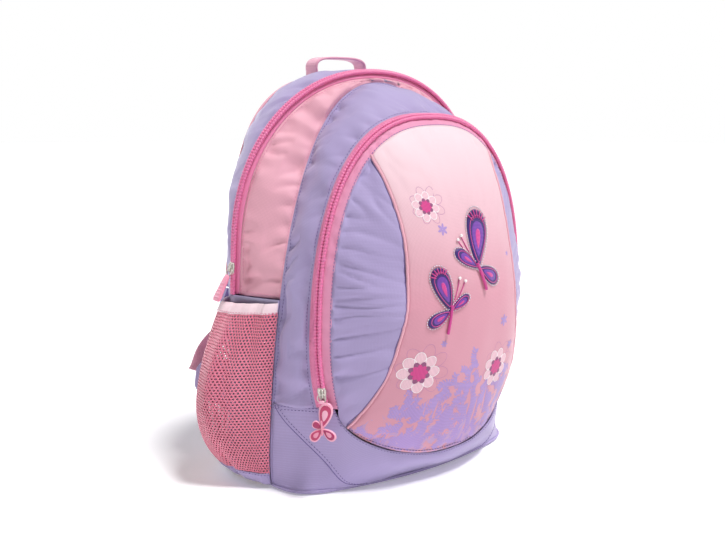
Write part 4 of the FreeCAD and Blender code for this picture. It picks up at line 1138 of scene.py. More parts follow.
def slab(name, loop, profile, materials, stand, crown=0.0):
    """A flat closed piece. profile lists (pulled in, height) from its underside's rim over its edge to its
    top's rim, and stand turns a local point into a place on the bag. crown lifts the middle of the top."""
    centre = sum(loop, Vector((0, 0, 0))) / len(loop)
    verts, faces, lay = [], [], []
    rings = [[p + Vector((0, 0, high)) for p in pull_in(loop, inside)] for inside, high in profile]
    for share in (0.8, 0.55, 0.3):
        rings.append([Vector((centre.x + (p.x - centre.x) * share, centre.y + (p.y - centre.y) * share,
                              p.z + crown * (1 - share ** 2))) for p in rings[len(profile) - 1]])
    under = [[Vector((centre.x + (p.x - centre.x) * share, centre.y + (p.y - centre.y) * share, p.z))
              for p in rings[0]] for share in (0.3, 0.55, 0.8)]
    rings = under + rings
    count = len(loop)
    for ring in rings:
        for p in ring:
            verts.append(stand(p))
            lay.append(p)
    flip = sum(a.x * b.y - a.y * b.x for a, b in zip(loop, loop[1:] + loop[:1])) < 0
    for k in range(len(rings) - 1):
        for i in range(count):
            a, b = k * count + i, k * count + (i + 1) % count
            corners = [a, b, b + count, a + count]
            faces.append(corners[::-1] if flip else corners)
    for ring, way in ((0, -1), (len(rings) - 1, 1)):
        p = sum(rings[ring], Vector((0, 0, 0))) / count
        if way > 0:
            p = p + Vector((0, 0, crown * 0.09))
        verts.append(stand(p))
        lay.append(p)
        middle = len(verts) - 1
        for i in range(count):
            corners = [ring * count + i, ring * count + (i + 1) % count, middle]
            if (way < 0) != flip:
                corners = corners[::-1]
            faces.append(corners)
    return mesh_object(name, verts, faces, materials, cloth=lay)


def base_corners():
    rear = half_width(seams["rear"], 0.0)
    return [(rear, 70.0)] + [(p.x, p.y) for p in reversed(yoke_levels[0])] + [(-rear, 70.0)]


base_loop = closed_outline(base_corners(), 16.0, 4.0)
base = slab("base_cloth", base_loop, [(5.0, 0.0), (1.8, 0.3), (0.4, 1.3), (0.2, 2.6), (1.6, 3.6), (6.0, 3.8)],
            [lavender], lambda p: Vector((p.x, p.y, min(p.z, 3.3))))
fix(base, "root", "lavender_fabric", "base_panel")
rim = [Vector((p.x, p.y, 3.3)) for p in pull_in(base_loop, 0.2)]
rim_line = [(p, Vector((p.x, p.y, 0)).normalized()) for p in rim + rim[:1]]
fix(tube("base_piping", rim_line, 1.1, lavender, ends=False), "root", "lavender_fabric")
# Stamped polyethylene sheet: dull, a little waxy, with a fine pebble.
board = speckled("grey_polyethylene_board", "#8B8792", "#9A96A1", 700.0, {"Roughness": 0.6},
                 dent=(0.4, 0.0002))


def finish_node(name, made):
    """Give a CAD piece that stays on show its material."""
    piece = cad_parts[name]
    for slot in piece.material_slots:
        slot.material = made
    if not piece.material_slots:
        piece.data.materials.append(made)


finish_node("base_board", board)


# ---------------------------------------------------------------- back panel and lining
# The back is one lavender panel inside the rear seam, piped all round. Behind it a grey-lilac lining covers
# a sheet of foam, and the same lining makes the wall between the main compartment and the front pocket.
def fan_rows(line, knee, columns, place):
    """Grid from a seam line in to the middle of the panel that it goes round."""
    rows = []
    for p in line:
        centre = Vector((0, 0, min(p.z, knee)))
        rows.append([place(Vector((p.x, 0, p.z)).lerp(centre, j / columns)) for j in range(columns + 1)])
    return rows


def slack(seed, folds, pulls, turned):
    """Gathers of a half panel. Its inner side runs on to the other half and isn't turned under."""
    whole = gathers(seed, folds, pulls, turned=turned)
    return lambda point, along, across, width: (
        whole(point, along, across, 2 * width) * soft((width - across) / 34))


rear_line = rail(moved_in(seams["rear"], 1.2), BASE_TOP)
back = Panel("back_cloth", fan_rows(rear_line, 250.0, 34, lambda p: Vector((p.x, 69.6, p.z))),
             CLOTH, lavender, lining, slack(41.0, 1.2, 0.5, 0.8), out=-1)
fix(back.piece, "root", "lavender_fabric", "back_panel")
rear_piping = [(p + Vector((0, 0.2, 0)), Vector((0, 1, 0))) for p in rail(seams["rear"], BASE_TOP)]
fix(tube("back_piping", rear_piping, 1.9, pale_pink), "root", "pink_fabric")
fix(stitches("back_stitches", [back.line(4.0)], purple_thread), "root", "lavender_fabric")
lining_line = rail(moved_in(seams["rear"], 9.0), BASE_TOP + 1.0)
back_lining = Panel("back_lining_cloth",
                    fan_rows(lining_line, 250.0, 26, lambda p: Vector((p.x, 60.0, p.z))),
                    5.5, lining, lining, slack(43.0, 1.0, 0.4, 2.0))
fix(back_lining.piece, "root", "lining", "back_foam")
wall_line = rail(moved_in(seams["gusset"], 5.0), BASE_TOP + 3.0)
wall = Panel("pocket_back_wall",
             fan_rows(wall_line, 240.0, 26,
                      lambda p: Vector((p.x, depth(seams["gusset"], p.z) + 1.6, p.z))),
             0.8, lining, lining, slack(47.0, 1.2, 0.5, 0.0))
fix(wall.piece, "bend", "lining", "divider_upper", "divider_lower")

# ---------------------------------------------------------------- back pads
# Two upright pads and a lumbar pad are sewn to the back. They are foam under lilac air mesh, a knit with
# rows of small pits, and they stand crowned between their edges.
def pitted(name, deep, light, pitch):
    """Air mesh: a thick knit whose face is all small pits, soft and matt, with a fuzzy sheen and painted shade
    in each pit.
    """
    made, tree = new_material(name)
    place = node(tree, "ShaderNodeTexCoord")
    pits = node(tree, "ShaderNodeTexVoronoi", {"Scale": 1 / pitch, "Randomness": 0.15},
                {"Vector": place.outputs["Object"]})
    pit_depth_and_shade = node(tree, "ShaderNodeMapRange", {"From Min": 0.12, "From Max": 0.42},
                {"Value": pits.outputs["Distance"]})
    # Painted shade: the darker tone fills the bottom of each pit, where the bump is lowest.
    tone = node(tree, "ShaderNodeMix", {"data_type": "RGBA", 6: colour(deep), 7: colour(light)},
                {0: pit_depth_and_shade.outputs["Result"]})
    bump = node(tree, "ShaderNodeBump", {"Strength": 0.8, "Distance": 0.0008},
                {"Height": pit_depth_and_shade.outputs["Result"]})
    shade = node(tree, "ShaderNodeBsdfPrincipled",
                 {"Roughness": 0.85, "Sheen Weight": 0.4, "Sheen Roughness": 0.5},
                 {"Base Color": tone.outputs[2], "Normal": bump.outputs["Normal"]})
    node(tree, "ShaderNodeOutputMaterial", {}, {"Surface": shade.outputs["BSDF"]})
    return made


# The first colour is the painted shade in the pits, the second the lilac face of the knit.
air_mesh = pitted("lilac_air_mesh", "#7E72A0", "#B7A9DA", 3.2 * MM)
BACK_FACE = 70.4


def on_back(p):
    """Local x, height and thickness to a place on the back."""
    return Vector((p.x, BACK_FACE + p.z, p.y))


PRESS_STEPS = 20


def swell(piece, cap, sewn_below):
    """Blow a pad up under cloth pressure, held where it is sewn down, and keep the result as its mesh."""
    rebuild = piece.modifiers.new("rebuild", "REMESH")
    rebuild.mode = "VOXEL"
    rebuild.voxel_size = 0.0045
    graph = bpy.context.evaluated_depsgraph_get()
    mesh = bpy.data.meshes.new_from_object(piece.evaluated_get(graph))
    mesh.materials.clear()
    for slot in piece.data.materials:
        mesh.materials.append(slot)
    piece.modifiers.clear()
    piece.data = mesh
    rest = [v.co.copy() for v in mesh.vertices]
    sewn = piece.vertex_groups.new(name="sewn")
    sewn.add([v.index for v in mesh.vertices if v.co.y < sewn_below * MM], 1.0, "REPLACE")
    press = piece.modifiers.new("press", "CLOTH")
    press.settings.use_pressure = True
    press.settings.uniform_pressure_force = 4.0
    press.settings.vertex_group_mass = "sewn"
    press.settings.effector_weights.gravity = 0.0
    press.settings.quality = 6
    press.point_cache.frame_start, press.point_cache.frame_end = 1, PRESS_STEPS
    for f in range(1, PRESS_STEPS + 1):
        scene.frame_set(f)
    graph = bpy.context.evaluated_depsgraph_get()
    blown = [v.co.copy() for v in piece.evaluated_get(graph).data.vertices]
    piece.modifiers.clear()
    piece.vertex_groups.clear()
    for v, a, b in zip(mesh.vertices, rest, blown):
        move = b - a
        if move.length > cap * MM:
            move = move.normalized() * cap * MM
        v.co = a + move
    scene.frame_set(1)
    mesh.polygons.foreach_set("use_smooth", [True] * len(mesh.polygons))
    mesh.update()
    smooth = piece.modifiers.new("smooth", "SUBSURF")
    smooth.levels = smooth.render_levels = 1


def rectangle(x, z_low, z_high, width, corner, step=3.0):
    """Outline of a flat pad with rounded corners."""
    return closed_outline([(x - width / 2, z_low), (x + width / 2, z_low),
                           (x + width / 2, z_high), (x - width / 2, z_high)], corner, step)


for name, x, low, high, width, corner, cad_pad in (
        ("back_pad_left_cushion", -55.0, 96.0, 318.0, 84.0, 30.0, "back_pad_left"),
        ("back_pad_right_cushion", 55.0, 96.0, 318.0, 84.0, 30.0, "back_pad_right"),
        ("lumbar_cushion", 0.0, 22.0, 84.0, 194.0, 26.0, "lumbar_pad")):
    loop = rectangle(x, low, high, width, corner)
    pad = slab(name, loop, [(0.6, 0.0), (0.2, 1.4), (1.6, 3.6), (4.8, 5.6), (10.0, 6.8)], [air_mesh],
               on_back, 0.8)
    swell(pad, 3.0, BACK_FACE + 1.6)
    fix(pad, "root", "air_mesh", cad_pad)
    rim = [(on_back(p + Vector((0, 0, 1.3))), Vector((0, 1, 0))) for p in loop + loop[:1]]
    fix(tube(name + "_piping", rim, 1.3, pale_pink, ends=False), "root", "pink_fabric")

# ---------------------------------------------------------------- shoulder straps
# Each strap is foam between lavender cloth and air mesh, bound along both edges with pink tape. Webbing is
# sewn down its middle and runs through a moulded ladder lock to a tab in the bag's lower side seam.
webbing_pink = woven("pink_polyester_webbing", "#EBA0BD", "#F4B6CC", thread=1.6 * MM, rough=0.5, sheen=0.3,
                     relief=0.0005)


def strap_path(side, count):
    """Middle of a strap's inner face, from its sewn top end down to its free end."""
    knots = [Vector((side * x, BACK_FACE + out, z)) for x, out, z in (
        (44, 4, 372), (47, 20, 338), (55, 30, 294), (68, 35, 248), (84, 36, 206), (101, 34, 170))]
    fine = [on_curve(knots, i / 16) for i in range(5 * 16)]
    return even(fine + [knots[-1]], count)


def strap_ways(path, i):
    """Ways along, out of and across a strap at a point of its path."""
    run = (path[min(i + 1, len(path) - 1)] - path[max(i - 1, 0)]).normalized()
    out = (Vector((0, 1, 0)) - run * run.y).normalized()
    return run, out, run.cross(out)


def band(name, path, section, materials, slots=None, face_out=Vector((0, 1, 0)), relief=None):
    """A closed band along a path. section(share) gives its outline there as (across, out) pairs."""
    verts, faces, lay, face_slots = [], [], [], []
    last = len(path) - 1
    travel = 0.0
    for i, p in enumerate(path):
        run = (path[min(i + 1, last)] - path[max(i - 1, 0)]).normalized()
        out = face_out(i) if callable(face_out) else face_out
        out = (out - run * out.dot(run)).normalized()
        wide = run.cross(out)
        if i:
            travel += (p - path[i - 1]).length
        outline = section(i / last)
        for w, t in outline:
            more = relief(travel, w) if relief and t > 0 else 0.0
            verts.append(p + wide * w + out * (t + more))
            lay.append(Vector((travel, w, 0)))
    count = len(outline)
    for i in range(last):
        for k in range(count):
            a, b = i * count + k, i * count + (k + 1) % count
            faces.append([a, a + count, b + count, b])
            face_slots.append(slots[k] if slots else 0)
    faces.append(list(range(count)))
    faces.append([last * count + k for k in range(count)][::-1])
    face_slots += [0, 0]
    return mesh_object(name, verts, faces, materials, face_slots, cloth=lay)


def flat_section(width, thick, low=0.0):
    """Outline of webbing: flat faces and rounded edges."""
    half = width / 2
    across = [-half + 0.8 + (width - 1.6) * k / 8 for k in range(9)]
    top = [(w, low + thick) for w in across]
    under = [(w, low) for w in reversed(across)]
    return [(-half, low + thick * 0.5)] + top + [(half, low + thick * 0.5)] + under


STRAP_WIDTH, STRAP_THICK = 54.0, 9.0
STRAP_STEPS = 72
WEBBING_WIDTH, WEBBING_THICK = 25.0, 1.5
for side, label in ((-1, "left"), (1, "right")):
    body = "strap_" + label
    path = strap_path(side, STRAP_STEPS)

    def strap_section(share):
        """The strap is crowned on both faces and narrows to its free end."""
        width = STRAP_WIDTH * (1 - 0.26 * soft((share - 0.84) / 0.16))
        thick = STRAP_THICK * (0.62 + 0.38 * soft(share / 0.08)) * (1 - 0.3 * soft((share - 0.93) / 0.07))
        ring = []
        for k in range(28):
            turn = 2 * math.pi * k / 28
            c, s = math.cos(turn), math.sin(turn)
            w = -width / 2 * math.copysign(abs(c) ** 0.55, c)
            t = thick / 2 * (1 + math.copysign(abs(s) ** 0.8, s))
            ring.append((w, t))
        return ring

    def strap_relief(travel, w):
        """Slow quilting of the foam under the cloth."""
        return 0.35 * noise.noise(Vector((travel / 22, w / 16, side * 2.0)))

    slots = [0] * 14 + [1] * 14
    strap = band("shoulder_strap_cloth_" + label, path, strap_section, [lavender, air_mesh], slots,
                 relief=strap_relief)
    fix(strap, body, "air_mesh", "shoulder_strap_" + label)
    outlines = [strap_section(i / (STRAP_STEPS - 1)) for i in range(STRAP_STEPS)]
    crowns = [outline[7][1] for outline in outlines]      # the eighth point is the middle of the outer face
    for edge in (-1, 1):
        rim = []
        for i, p in enumerate(path):
            run, out, wide = strap_ways(path, i)
            w = max(abs(q[0]) for q in outlines[i]) - 0.4
            rim.append((p + wide * edge * w + out * crowns[i] * 0.5, wide * edge))
        place = "inner" if edge * side < 0 else "outer"
        fix(tube("strap_binding_%s_%s" % (label, place), rim, 1.7, pale_pink), body, "pink_fabric")
    web_path = [p + strap_ways(path, i)[1] * (crowns[i] - 0.3) for i, p in enumerate(path)]
    web = band("strap_webbing_upper_" + label, web_path[4:],
               lambda share: flat_section(WEBBING_WIDTH, WEBBING_THICK), [webbing_pink])
    fix(web, body, "webbing")
    run, out, wide = strap_ways(path, STRAP_STEPS - 1)
    rows = []
    for w in (-10.5, 10.5):
        rows.append([(p + wide * w + out * 1.45, out) for p in web_path[5:-1]])
    for at in (5, 9, 40, 44):
        rows.append([(web_path[at] + wide * (w * 2.3) + out * 1.45, out) for w in range(-5, 6)])
    fix(stitches("strap_stitches_" + label, rows, pink_thread), body, "webbing")

    # The lower webbing runs through the ladder lock, sags a little and ends in the tab.
    lock_top = path[-1] + run * 1.8 + Vector((0, 1.5, 0))
    start = lock_top + run * 13.0 + out * 3.6
    under = lock_top + run * 34.0 + Vector((0, 0.6, 0))
    tab = Vector((side * 158.0, 100.0, 92.0))
    middle = under.lerp(tab, 0.5) + Vector((0, 8.0, -1.0))
    knots = [lock_top + run * 9.0 + out * 1.0, start, lock_top + run * 22.0 + out * 3.2, under, middle,
             tab - (tab - middle).normalized() * 2.0, tab]
    fine = [on_curve(knots, i / 14) for i in range(14 * (len(knots) - 1))] + [knots[-1]]
    tab_root = Vector((side * (half_width(seams["rear"], 80.0) + 1.5), 70.5, 0))
    way = (Vector((tab.x, tab.y, 0)) - tab_root).normalized()
    tab_out = way.cross(Vector((0, 0, 1))) * -side

    def turning(i):
        """The webbing twists from facing back to facing the way its tab does."""
        return Vector((0, 1, 0)).lerp(tab_out, soft((i - 20) / 24))

    lower = band("strap_webbing_lower_" + label, even(fine, 48),
                 lambda share: flat_section(WEBBING_WIDTH - 2.0, WEBBING_THICK, -0.7), [webbing_pink],
                 face_out=turning)
    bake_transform(lower)
    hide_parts("strap_webbing_" + label)

    # The tab is a folded triangle of lavender cloth, sewn into the rear seam with the webbing between its
    # two layers.
    reach = (Vector((tab.x, tab.y, 0)) - tab_root).length
    corners = [(0.0, 52.0), (reach - 3.0, 64.0), (reach + 5.0, 76.0), (reach + 2.0, 96.0),
               (reach - 9.0, 109.0), (0.0, 106.0)]

    def on_tab(p):
        """Local reach, height and thickness to a place on the tab."""
        return tab_root + way * p.x + Vector((0, 0, p.y)) + tab_out * (p.z - 1.45)

    loop = closed_outline(corners, 3.0, 2.4)
    tab_piece = slab("strap_tab_cloth_" + label, loop, [(0.8, 0.0), (0.0, 0.7), (0.0, 2.2), (0.8, 2.9)],
                     [lavender], on_tab)
    fix(tab_piece, "root", "lavender_fabric", "strap_tab_" + label)
    mid = pull_in(loop, 2.4)
    tab_line = [(on_tab(Vector((p.x, p.y, 2.95))), tab_out) for p in mid + mid[:1]]
    fix(stitches("strap_tab_stitches_" + label, [tab_line], purple_thread), "root", "lavender_fabric")

# The straps' upper ends are sewn under a reinforced lavender patch with a boxed cross of stitches.
patch_loop = rectangle(0.0, 326.0, 376.0, 150.0, 8.0)
patch = slab("strap_anchor_cloth", patch_loop, [(0.8, 0.0), (0.1, 0.6), (0.1, 1.7), (0.9, 2.3)], [lavender],
             on_back, 0.2)
fix(patch, "root", "lavender_fabric", "strap_anchor")
inner_loop = pull_in(patch_loop, 3.0)
sewn_lines = [[Vector((p.x, p.y, 2.4)) for p in inner_loop + inner_loop[:1]]]
for x in (-44.0, 44.0):
    for lean in (-20, 20):
        start, end = Vector((x + lean, 330, 2.4)), Vector((x - lean, 371, 2.4))
        sewn_lines.append([start.lerp(end, t / 12) for t in range(13)])
marks = [[(on_back(p), Vector((0, 1, 0))) for p in line] for line in sewn_lines]
fix(stitches("strap_anchor_stitches", marks, purple_thread), "root", "lavender_fabric")

# Injection-moulded acetal: smooth and a little waxy, with a faint moulding ripple.
lock_plastic = speckled("lilac_acetal", "#9C8DC4", "#A597CC", 240.0, {"Roughness": 0.35, "IOR": 1.48},
                        detail=1.0, dent=(0.15, 0.0002))
for label in ("left", "right"):
    finish_node("ladder_lock_" + label, lock_plastic)

# ---------------------------------------------------------------- grab handle
# The handle is a loop of pink webbing. Its two ends are sewn into the top of the rear seam.
HANDLE_BASE, HANDLE_RISE, HANDLE_HALF, HANDLE_DEPTH = 407.0, 12.0, 33.0, 66.0
handle_path = [Vector((-HANDLE_HALF + 1.0, HANDLE_DEPTH, 392.0 + 2.5 * i)) for i in range(6)]
for i in range(49):
    turn = math.pi * i / 48
    x = -HANDLE_HALF * math.copysign(abs(math.cos(turn)) ** 0.6, math.cos(turn))
    z = HANDLE_BASE + HANDLE_RISE * math.sin(turn) ** 0.6 - 1.4
    handle_path.append(Vector((x * 0.985, HANDLE_DEPTH, z)))
handle_path += [Vector((HANDLE_HALF - 1.0, HANDLE_DEPTH, 404.5 - 2.5 * i)) for i in range(6)]
handle_path = even(handle_path, 90)


def handle_out(i):
    """Way out of the handle's loop."""
    p = handle_path[i]
    return Vector((p.x, 0, p.z - 385.0)).normalized()


handle = band("grab_handle_webbing", handle_path, lambda share: flat_section(20.0, 2.4, -1.2), [webbing_pink],
              face_out=handle_out, relief=lambda travel, w: 0.12 * math.sin(w * 2.6))
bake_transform(handle)
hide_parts("grab_handle", "handle_anchor")

# ---------------------------------------------------------------- zip sliders and pullers
# The sliders are die-cast zinc, nickel plated: a body with a rounded nose and a cast bail over it. A steel
# ring joins each to its puller, which is moulded from soft pink PVC.
# Barrel-plated die casting: bright, but softened by fine scratches and a slightly uneven face.
nickel = speckled("nickel_plated_zinc", "#A8A39C", "#CFCBC4", 900.0, {"Metallic": 1.0}, detail=3.0,
                  dent=(0.2, 0.0001), dulled=(0.2, 0.42))


def soft_pvc(name, deep, light):
    """Moulded soft PVC: smooth, half matt, and a little see-through at its edges."""
    return speckled(name, deep, light, 120.0,
                    {"Roughness": 0.36, "IOR": 1.53, "Subsurface Weight": 0.12, "Subsurface Scale": 0.002},
                    dent=(0.15, 0.0002))


pvc_pale = soft_pvc("pale_pink_pvc", "#F2A5BF", "#F7B9CE")
pvc_rose = soft_pvc("rose_pvc", "#E98BA8", "#F09DB8")
pvc_magenta = soft_pvc("magenta_pvc", "#B9305F", "#C84270")
pvc_berry = soft_pvc("berry_pvc", "#A02458", "#AE3065")


def stand_at(origin, out, up):
    """Turn a local point (across, along, out of the bag) into a place on the bag."""
    wide = out.cross(up)
    return lambda p: origin + wide * p.x + up * p.y + out * p.z


def join(name, pieces):
    """One object from several."""
    with bpy.context.temp_override(active_object=pieces[0], selected_objects=pieces,
                                   selected_editable_objects=pieces):
        bpy.ops.object.join()
    pieces[0].name = name
    pieces[0].data.name = name
    return pieces[0]


def slider_piece(name, origin, out, along):
    """Slider body over the coil, with a shoulder at each side of its nose and a bail."""
    stand = stand_at(origin + out * 1.3, out, along)
    shape = [(-3.0, -6.6), (3.0, -6.6), (3.9, -2.0), (4.6, 3.2), (3.2, 6.4), (0.0, 5.4), (-3.2, 6.4),
             (-4.6, 3.2), (-3.9, -2.0)]
    loop = closed_outline(shape, 2.6, 0.5)
    pieces = [slab(name, loop, [(0.7, 0.3), (0.1, 0.6), (0.1, 1.5), (0.8, 2.1)], [nickel], stand, 0.15)]
    for x in (-1.35, 1.35):
        arc = []
        for t in range(13):
            turn = math.pi * t / 12
            arc.append((stand(Vector((x, -4.2 * math.cos(turn), 1.9 + 2.4 * math.sin(turn) ** 0.7))), out))
        pieces.append(tube(name + "_bail", arc, 0.62, nickel))
    top = [(stand(Vector((x, 0.1, 4.15))), out) for x in (-1.6, -0.8, 0.0, 0.8, 1.6)]
    pieces.append(tube(name + "_bail", top, 0.6, nickel))
    return join(name, pieces)


def slider_stand(seam, z, facing):
    """Point on the left of a zip's middle line, with the ways out of the bag and along the zip there."""
    here, ahead = (Vector((-half_width(seam, h), depth(seam, h), h)) for h in (z, z + 30.0))
    along = (ahead - here).normalized()
    out = Vector((*facing, 0.0))
    return here, (out - along * out.dot(along)).normalized(), along


main_stand = slider_stand(seams["zip"], 213.0, (-1.0, 0.0))
pocket_stand = slider_stand(seams["pocket"], 105.0, (-0.78, -0.62))
fix(slider_piece("main_zip_slider", *main_stand), "main_slider", "slider_metal", "main_slider")
fix(slider_piece("pocket_zip_slider", *pocket_stand), "pocket_slider", "slider_metal", "pocket_slider")
BAIL_LIFT = 3.7      # from the zip's middle line out to the bail's bar


def hang_frame(origin, out, along, lean):
    """Frame of a puller that hangs from its slider's bail and leans out of the bag."""
    pivot = origin + out * BAIL_LIFT - along * 0.1
    level = Vector((out.x, out.y, 0)).normalized()
    turn = math.radians(lean)
    face = level * math.cos(turn) + Vector((0, 0, 1)) * math.sin(turn)
    up = Vector((0, 0, 1)) * math.cos(turn) - level * math.sin(turn)
    return stand_at(pivot, face, up), face


def ring_piece(name, stand, face):
    """Bent wire ring through the slider's bail and the puller's eye."""
    turns = [math.pi * t / 16 for t in range(33)]
    loop = [(stand(Vector((4.0 * math.sin(t), -4.0 + 4.0 * math.cos(t), 0))), face) for t in turns]
    return tube(name, loop, 0.6, nickel, ends=False)


stand, face = hang_frame(*main_stand, 30.0)
fix(ring_piece("main_puller_link", stand, face), "main_puller", "slider_metal", "main_puller_ring")
grip_loop = closed_outline([(-4.2, -10.4), (-6.4, -35.0), (6.4, -35.0), (4.2, -10.4), (2.6, -6.9),
                            (-2.6, -6.9)], 4.0, 1.0)
parts = [slab("main_puller_grip", grip_loop, [(1.2, -1.6), (0.1, -0.8), (0.1, 0.8), (1.2, 1.6)], [pvc_rose],
              stand)]
for k in range(5):
    y = -16.5 - 3.6 * k
    half = 3.4 + 0.25 * k
    rib = [(stand(Vector((x, y, 1.55))), face) for x in (-half, -half / 2, 0, half / 2, half)]
    parts.append(tube("main_puller_rib", rib, 0.6, pvc_pale))
fix(join("main_puller_grip", parts), "main_puller", "puller_rubber", "main_puller")

# The pocket's puller is a flat butterfly: a pale rim, magenta wings sunk into it and rows of pale dots.
stand, face = hang_frame(*pocket_stand, 7.0)
fix(ring_piece("pocket_puller_link", stand, face), "pocket_puller", "slider_metal", "pocket_puller_ring")


def bearing(angle):
    """Unit vector in a flat piece's own plane, at an angle in degrees from straight up."""
    turn = math.radians(angle)
    return Vector((math.sin(turn), math.cos(turn), 0))


def wing(centre, angle, length, width, size, narrow=0.35):
    """Closed outline of a wing that widens away from the body at centre. angle is from straight up."""
    way, wide = bearing(angle), bearing(angle + 90)
    loop = []
    for k in range(32):
        t = 2 * math.pi * k / 32
        reach = length * (0.5 - 0.5 * math.cos(t))
        wedge = narrow + (1 - narrow) * (reach / length) ** 0.8
        loop.append(centre + way * (length / 2 + (reach - length / 2) * size)
                    + wide * (width / 2 * math.sin(t) * wedge * size))
    return loop


wings = ((-10, 25.0, 17.5, pvc_magenta), (62, 11.0, 10.0, pvc_berry), (138, 16.0, 12.5, pvc_magenta),
         (-128, 16.0, 12.0, pvc_berry))
heart = Vector((-1.5, -32.0, 0))
parts = []
for k, (angle, length, width, made) in enumerate(wings):
    loop = wing(heart, angle, length, width, 1.0)
    parts.append(slab("puller_rim", loop, [(0.8, -1.5), (0.1, -0.9), (0.1, 0.8), (0.9, 1.4)], [pvc_pale],
                      stand))
    loop = wing(heart, angle, length, width, 0.8)
    parts.append(slab("puller_wing", loop, [(0.2, 1.0), (0.1, 1.4), (0.3, 1.65), (0.8, 1.75)], [made], stand,
                      0.2))
    if k != 1:
        loop = wing(heart, angle, length, width, 0.42)
        parts.append(slab("puller_inlay", loop, [(0.1, 1.5), (0.05, 1.9), (0.2, 2.05), (0.4, 2.1)],
                          [pvc_pale if k == 0 else pvc_rose], stand, 0.1))
body_loop = closed_outline([(-2.9, -38.0), (-0.9, -38.5), (0.4, -24.5), (-1.6, -24.0)], 1.2, 0.5)
parts.append(slab("puller_body", body_loop, [(0.1, 1.5), (0.0, 2.0), (0.3, 2.4), (0.6, 2.5)], [pvc_rose],
                  stand, 0.1))
eye_loop = closed_outline([(-3.4, -9.2), (3.0, -9.2), (2.4, -5.8), (-2.6, -5.8)], 1.8, 0.6)
parts.append(slab("puller_eye", eye_loop, [(0.6, -1.3), (0.1, -0.8), (0.1, 0.8), (0.7, 1.3)], [pvc_pale],
                  stand))
for t in range(9):
    spot = heart + Vector((-2.6, 15.6, 0)) + bearing(-58 + 14.5 * t) * 6.7
    dot = [spot + Vector((math.cos(k * math.pi / 4), math.sin(k * math.pi / 4), 0)) * 0.55 for k in range(8)]
    parts.append(slab("puller_dot", dot, [(0.0, 1.6), (0.0, 1.95), (0.1, 2.05), (0.2, 2.1)], [pvc_pale],
                      stand))
fix(join("pocket_puller_butterfly", parts), "pocket_puller", "puller_rubber", "pocket_puller")


# ---------------------------------------------------------------- printed flowers
# Flowers are screen-printed on the pink panel: a magenta middle, dark inner petals and pale outer petals
# drawn with a white line. The ink lies on the cloth, so each is a thin skin that follows the pocket's dome.
def ink(name, code, deep):
    """Plastisol ink: even colour with the cloth's weave just showing through."""
    return woven(name, deep, code, rough=0.5, sheen=0.1, relief=0.0001)


ink_magenta = ink("magenta_ink", "#D6488E", "#CC3F86")
ink_plum = ink("plum_ink", "#96567F", "#8D4E78")
ink_white = ink("white_ink", "#FFFAFC", "#FBF0F4")
ink_blush = ink("blush_ink", "#F0C9D4", "#ECC1CE")
ink_lilac = ink("lilac_ink", "#B79AD4", "#AE90CE")
ink_mauve = ink("mauve_ink", "#C98BB4", "#C080AC")


def skin(loops, lift):
    """Thin printed patches: each loop of (x, z) is filled from its middle and laid on the dome."""
    verts, faces = [], []
    for loop in loops:
        cx, cz = sum(p[0] for p in loop) / len(loop), sum(p[1] for p in loop) / len(loop)
        base = len(verts)
        verts.append(pocket_point(cx, cz, lift))
        for share in (0.5, 1.0):
            for x, z in loop:
                verts.append(pocket_point(cx + (x - cx) * share, cz + (z - cz) * share, lift))
        count = len(loop)
        for k in range(count):
            a, b = base + 1 + k, base + 1 + (k + 1) % count
            faces.append([base, b, a])
            faces.append([a, b, b + count, a + count])
    return verts, faces


def drawn_line(loops, width, lift):
    """Thin printed lines round closed loops of (x, z)."""
    verts, faces = [], []
    for loop in loops:
        count = len(loop)
        base = len(verts)
        for k, (x, z) in enumerate(loop):
            dx, dz = loop[(k + 1) % count][0] - loop[k - 1][0], loop[(k + 1) % count][1] - loop[k - 1][1]
            size = max(math.hypot(dx, dz), 1e-6)
            for way in (-0.5, 0.5):
                verts.append(pocket_point(x - dz / size * width * way, z + dx / size * width * way, lift))
        for k in range(count):
            a, b = base + 2 * k, base + 2 * ((k + 1) % count)
            faces.append([a, a + 1, b + 1, b])
    return verts, faces


def petals(x, z, count, inner, outer, width, turn=0.0):
    """Outlines of petals round a middle."""
    loops = []
    for k in range(count):
        way = turn + 2 * math.pi * k / count
        mid, half = (inner + outer) / 2, (outer - inner) / 2
        loop = []
        for s in range(18):
            t = 2 * math.pi * s / 18
            r, w = mid + half * math.cos(t), width / 2 * math.sin(t)
            loop.append((x + r * math.sin(way) + w * math.cos(way),
                         z + r * math.cos(way) - w * math.sin(way)))
        loops.append(loop)
    return loops


def print_piece(name, shape, made):
    verts, faces = shape
    piece = mesh_object(name, verts, faces, [made])
    facing = sum(polygon.normal.y for polygon in piece.data.polygons)
    if facing > 0:
        piece.data.flip_normals()
    fix(piece, "bend", "printed_fabric")


flowers = ((-42.0, 277.0, 13.5, 0.2, 5.5), (-58.0, 125.0, 20.0, 0.0, 8.0), (40.0, 115.0, 19.0, 0.35, 8.0))
for k, (x, z, size, turn, shift) in enumerate(flowers):
    tag = "flower_%d_" % (k + 1)
    far = petals(x + shift * 0.5, z + shift * 0.2, 8, size * 0.3, size * 1.3, size * 0.62, turn + 0.2)
    outer = petals(x, z, 8, size * 0.25, size, size * 0.55, turn)
    inner = petals(x, z, 8, size * 0.1, size * 0.56, size * 0.3, turn + 0.39)
    heart = petals(x, z, 8, -size * 0.05, size * 0.42, size * 0.26, turn)
    print_piece(tag + "far_outline", drawn_line(far, 0.4, 0.10), ink_mauve)
    print_piece(tag + "petals", skin(outer, 0.16), ink_blush)
    print_piece(tag + "white_outline", drawn_line(outer, 0.55, 0.24), ink_white)
    print_piece(tag + "inner_petals", skin(inner, 0.32), ink_plum)
    print_piece(tag + "middle", skin(heart, 0.4), ink_magenta)
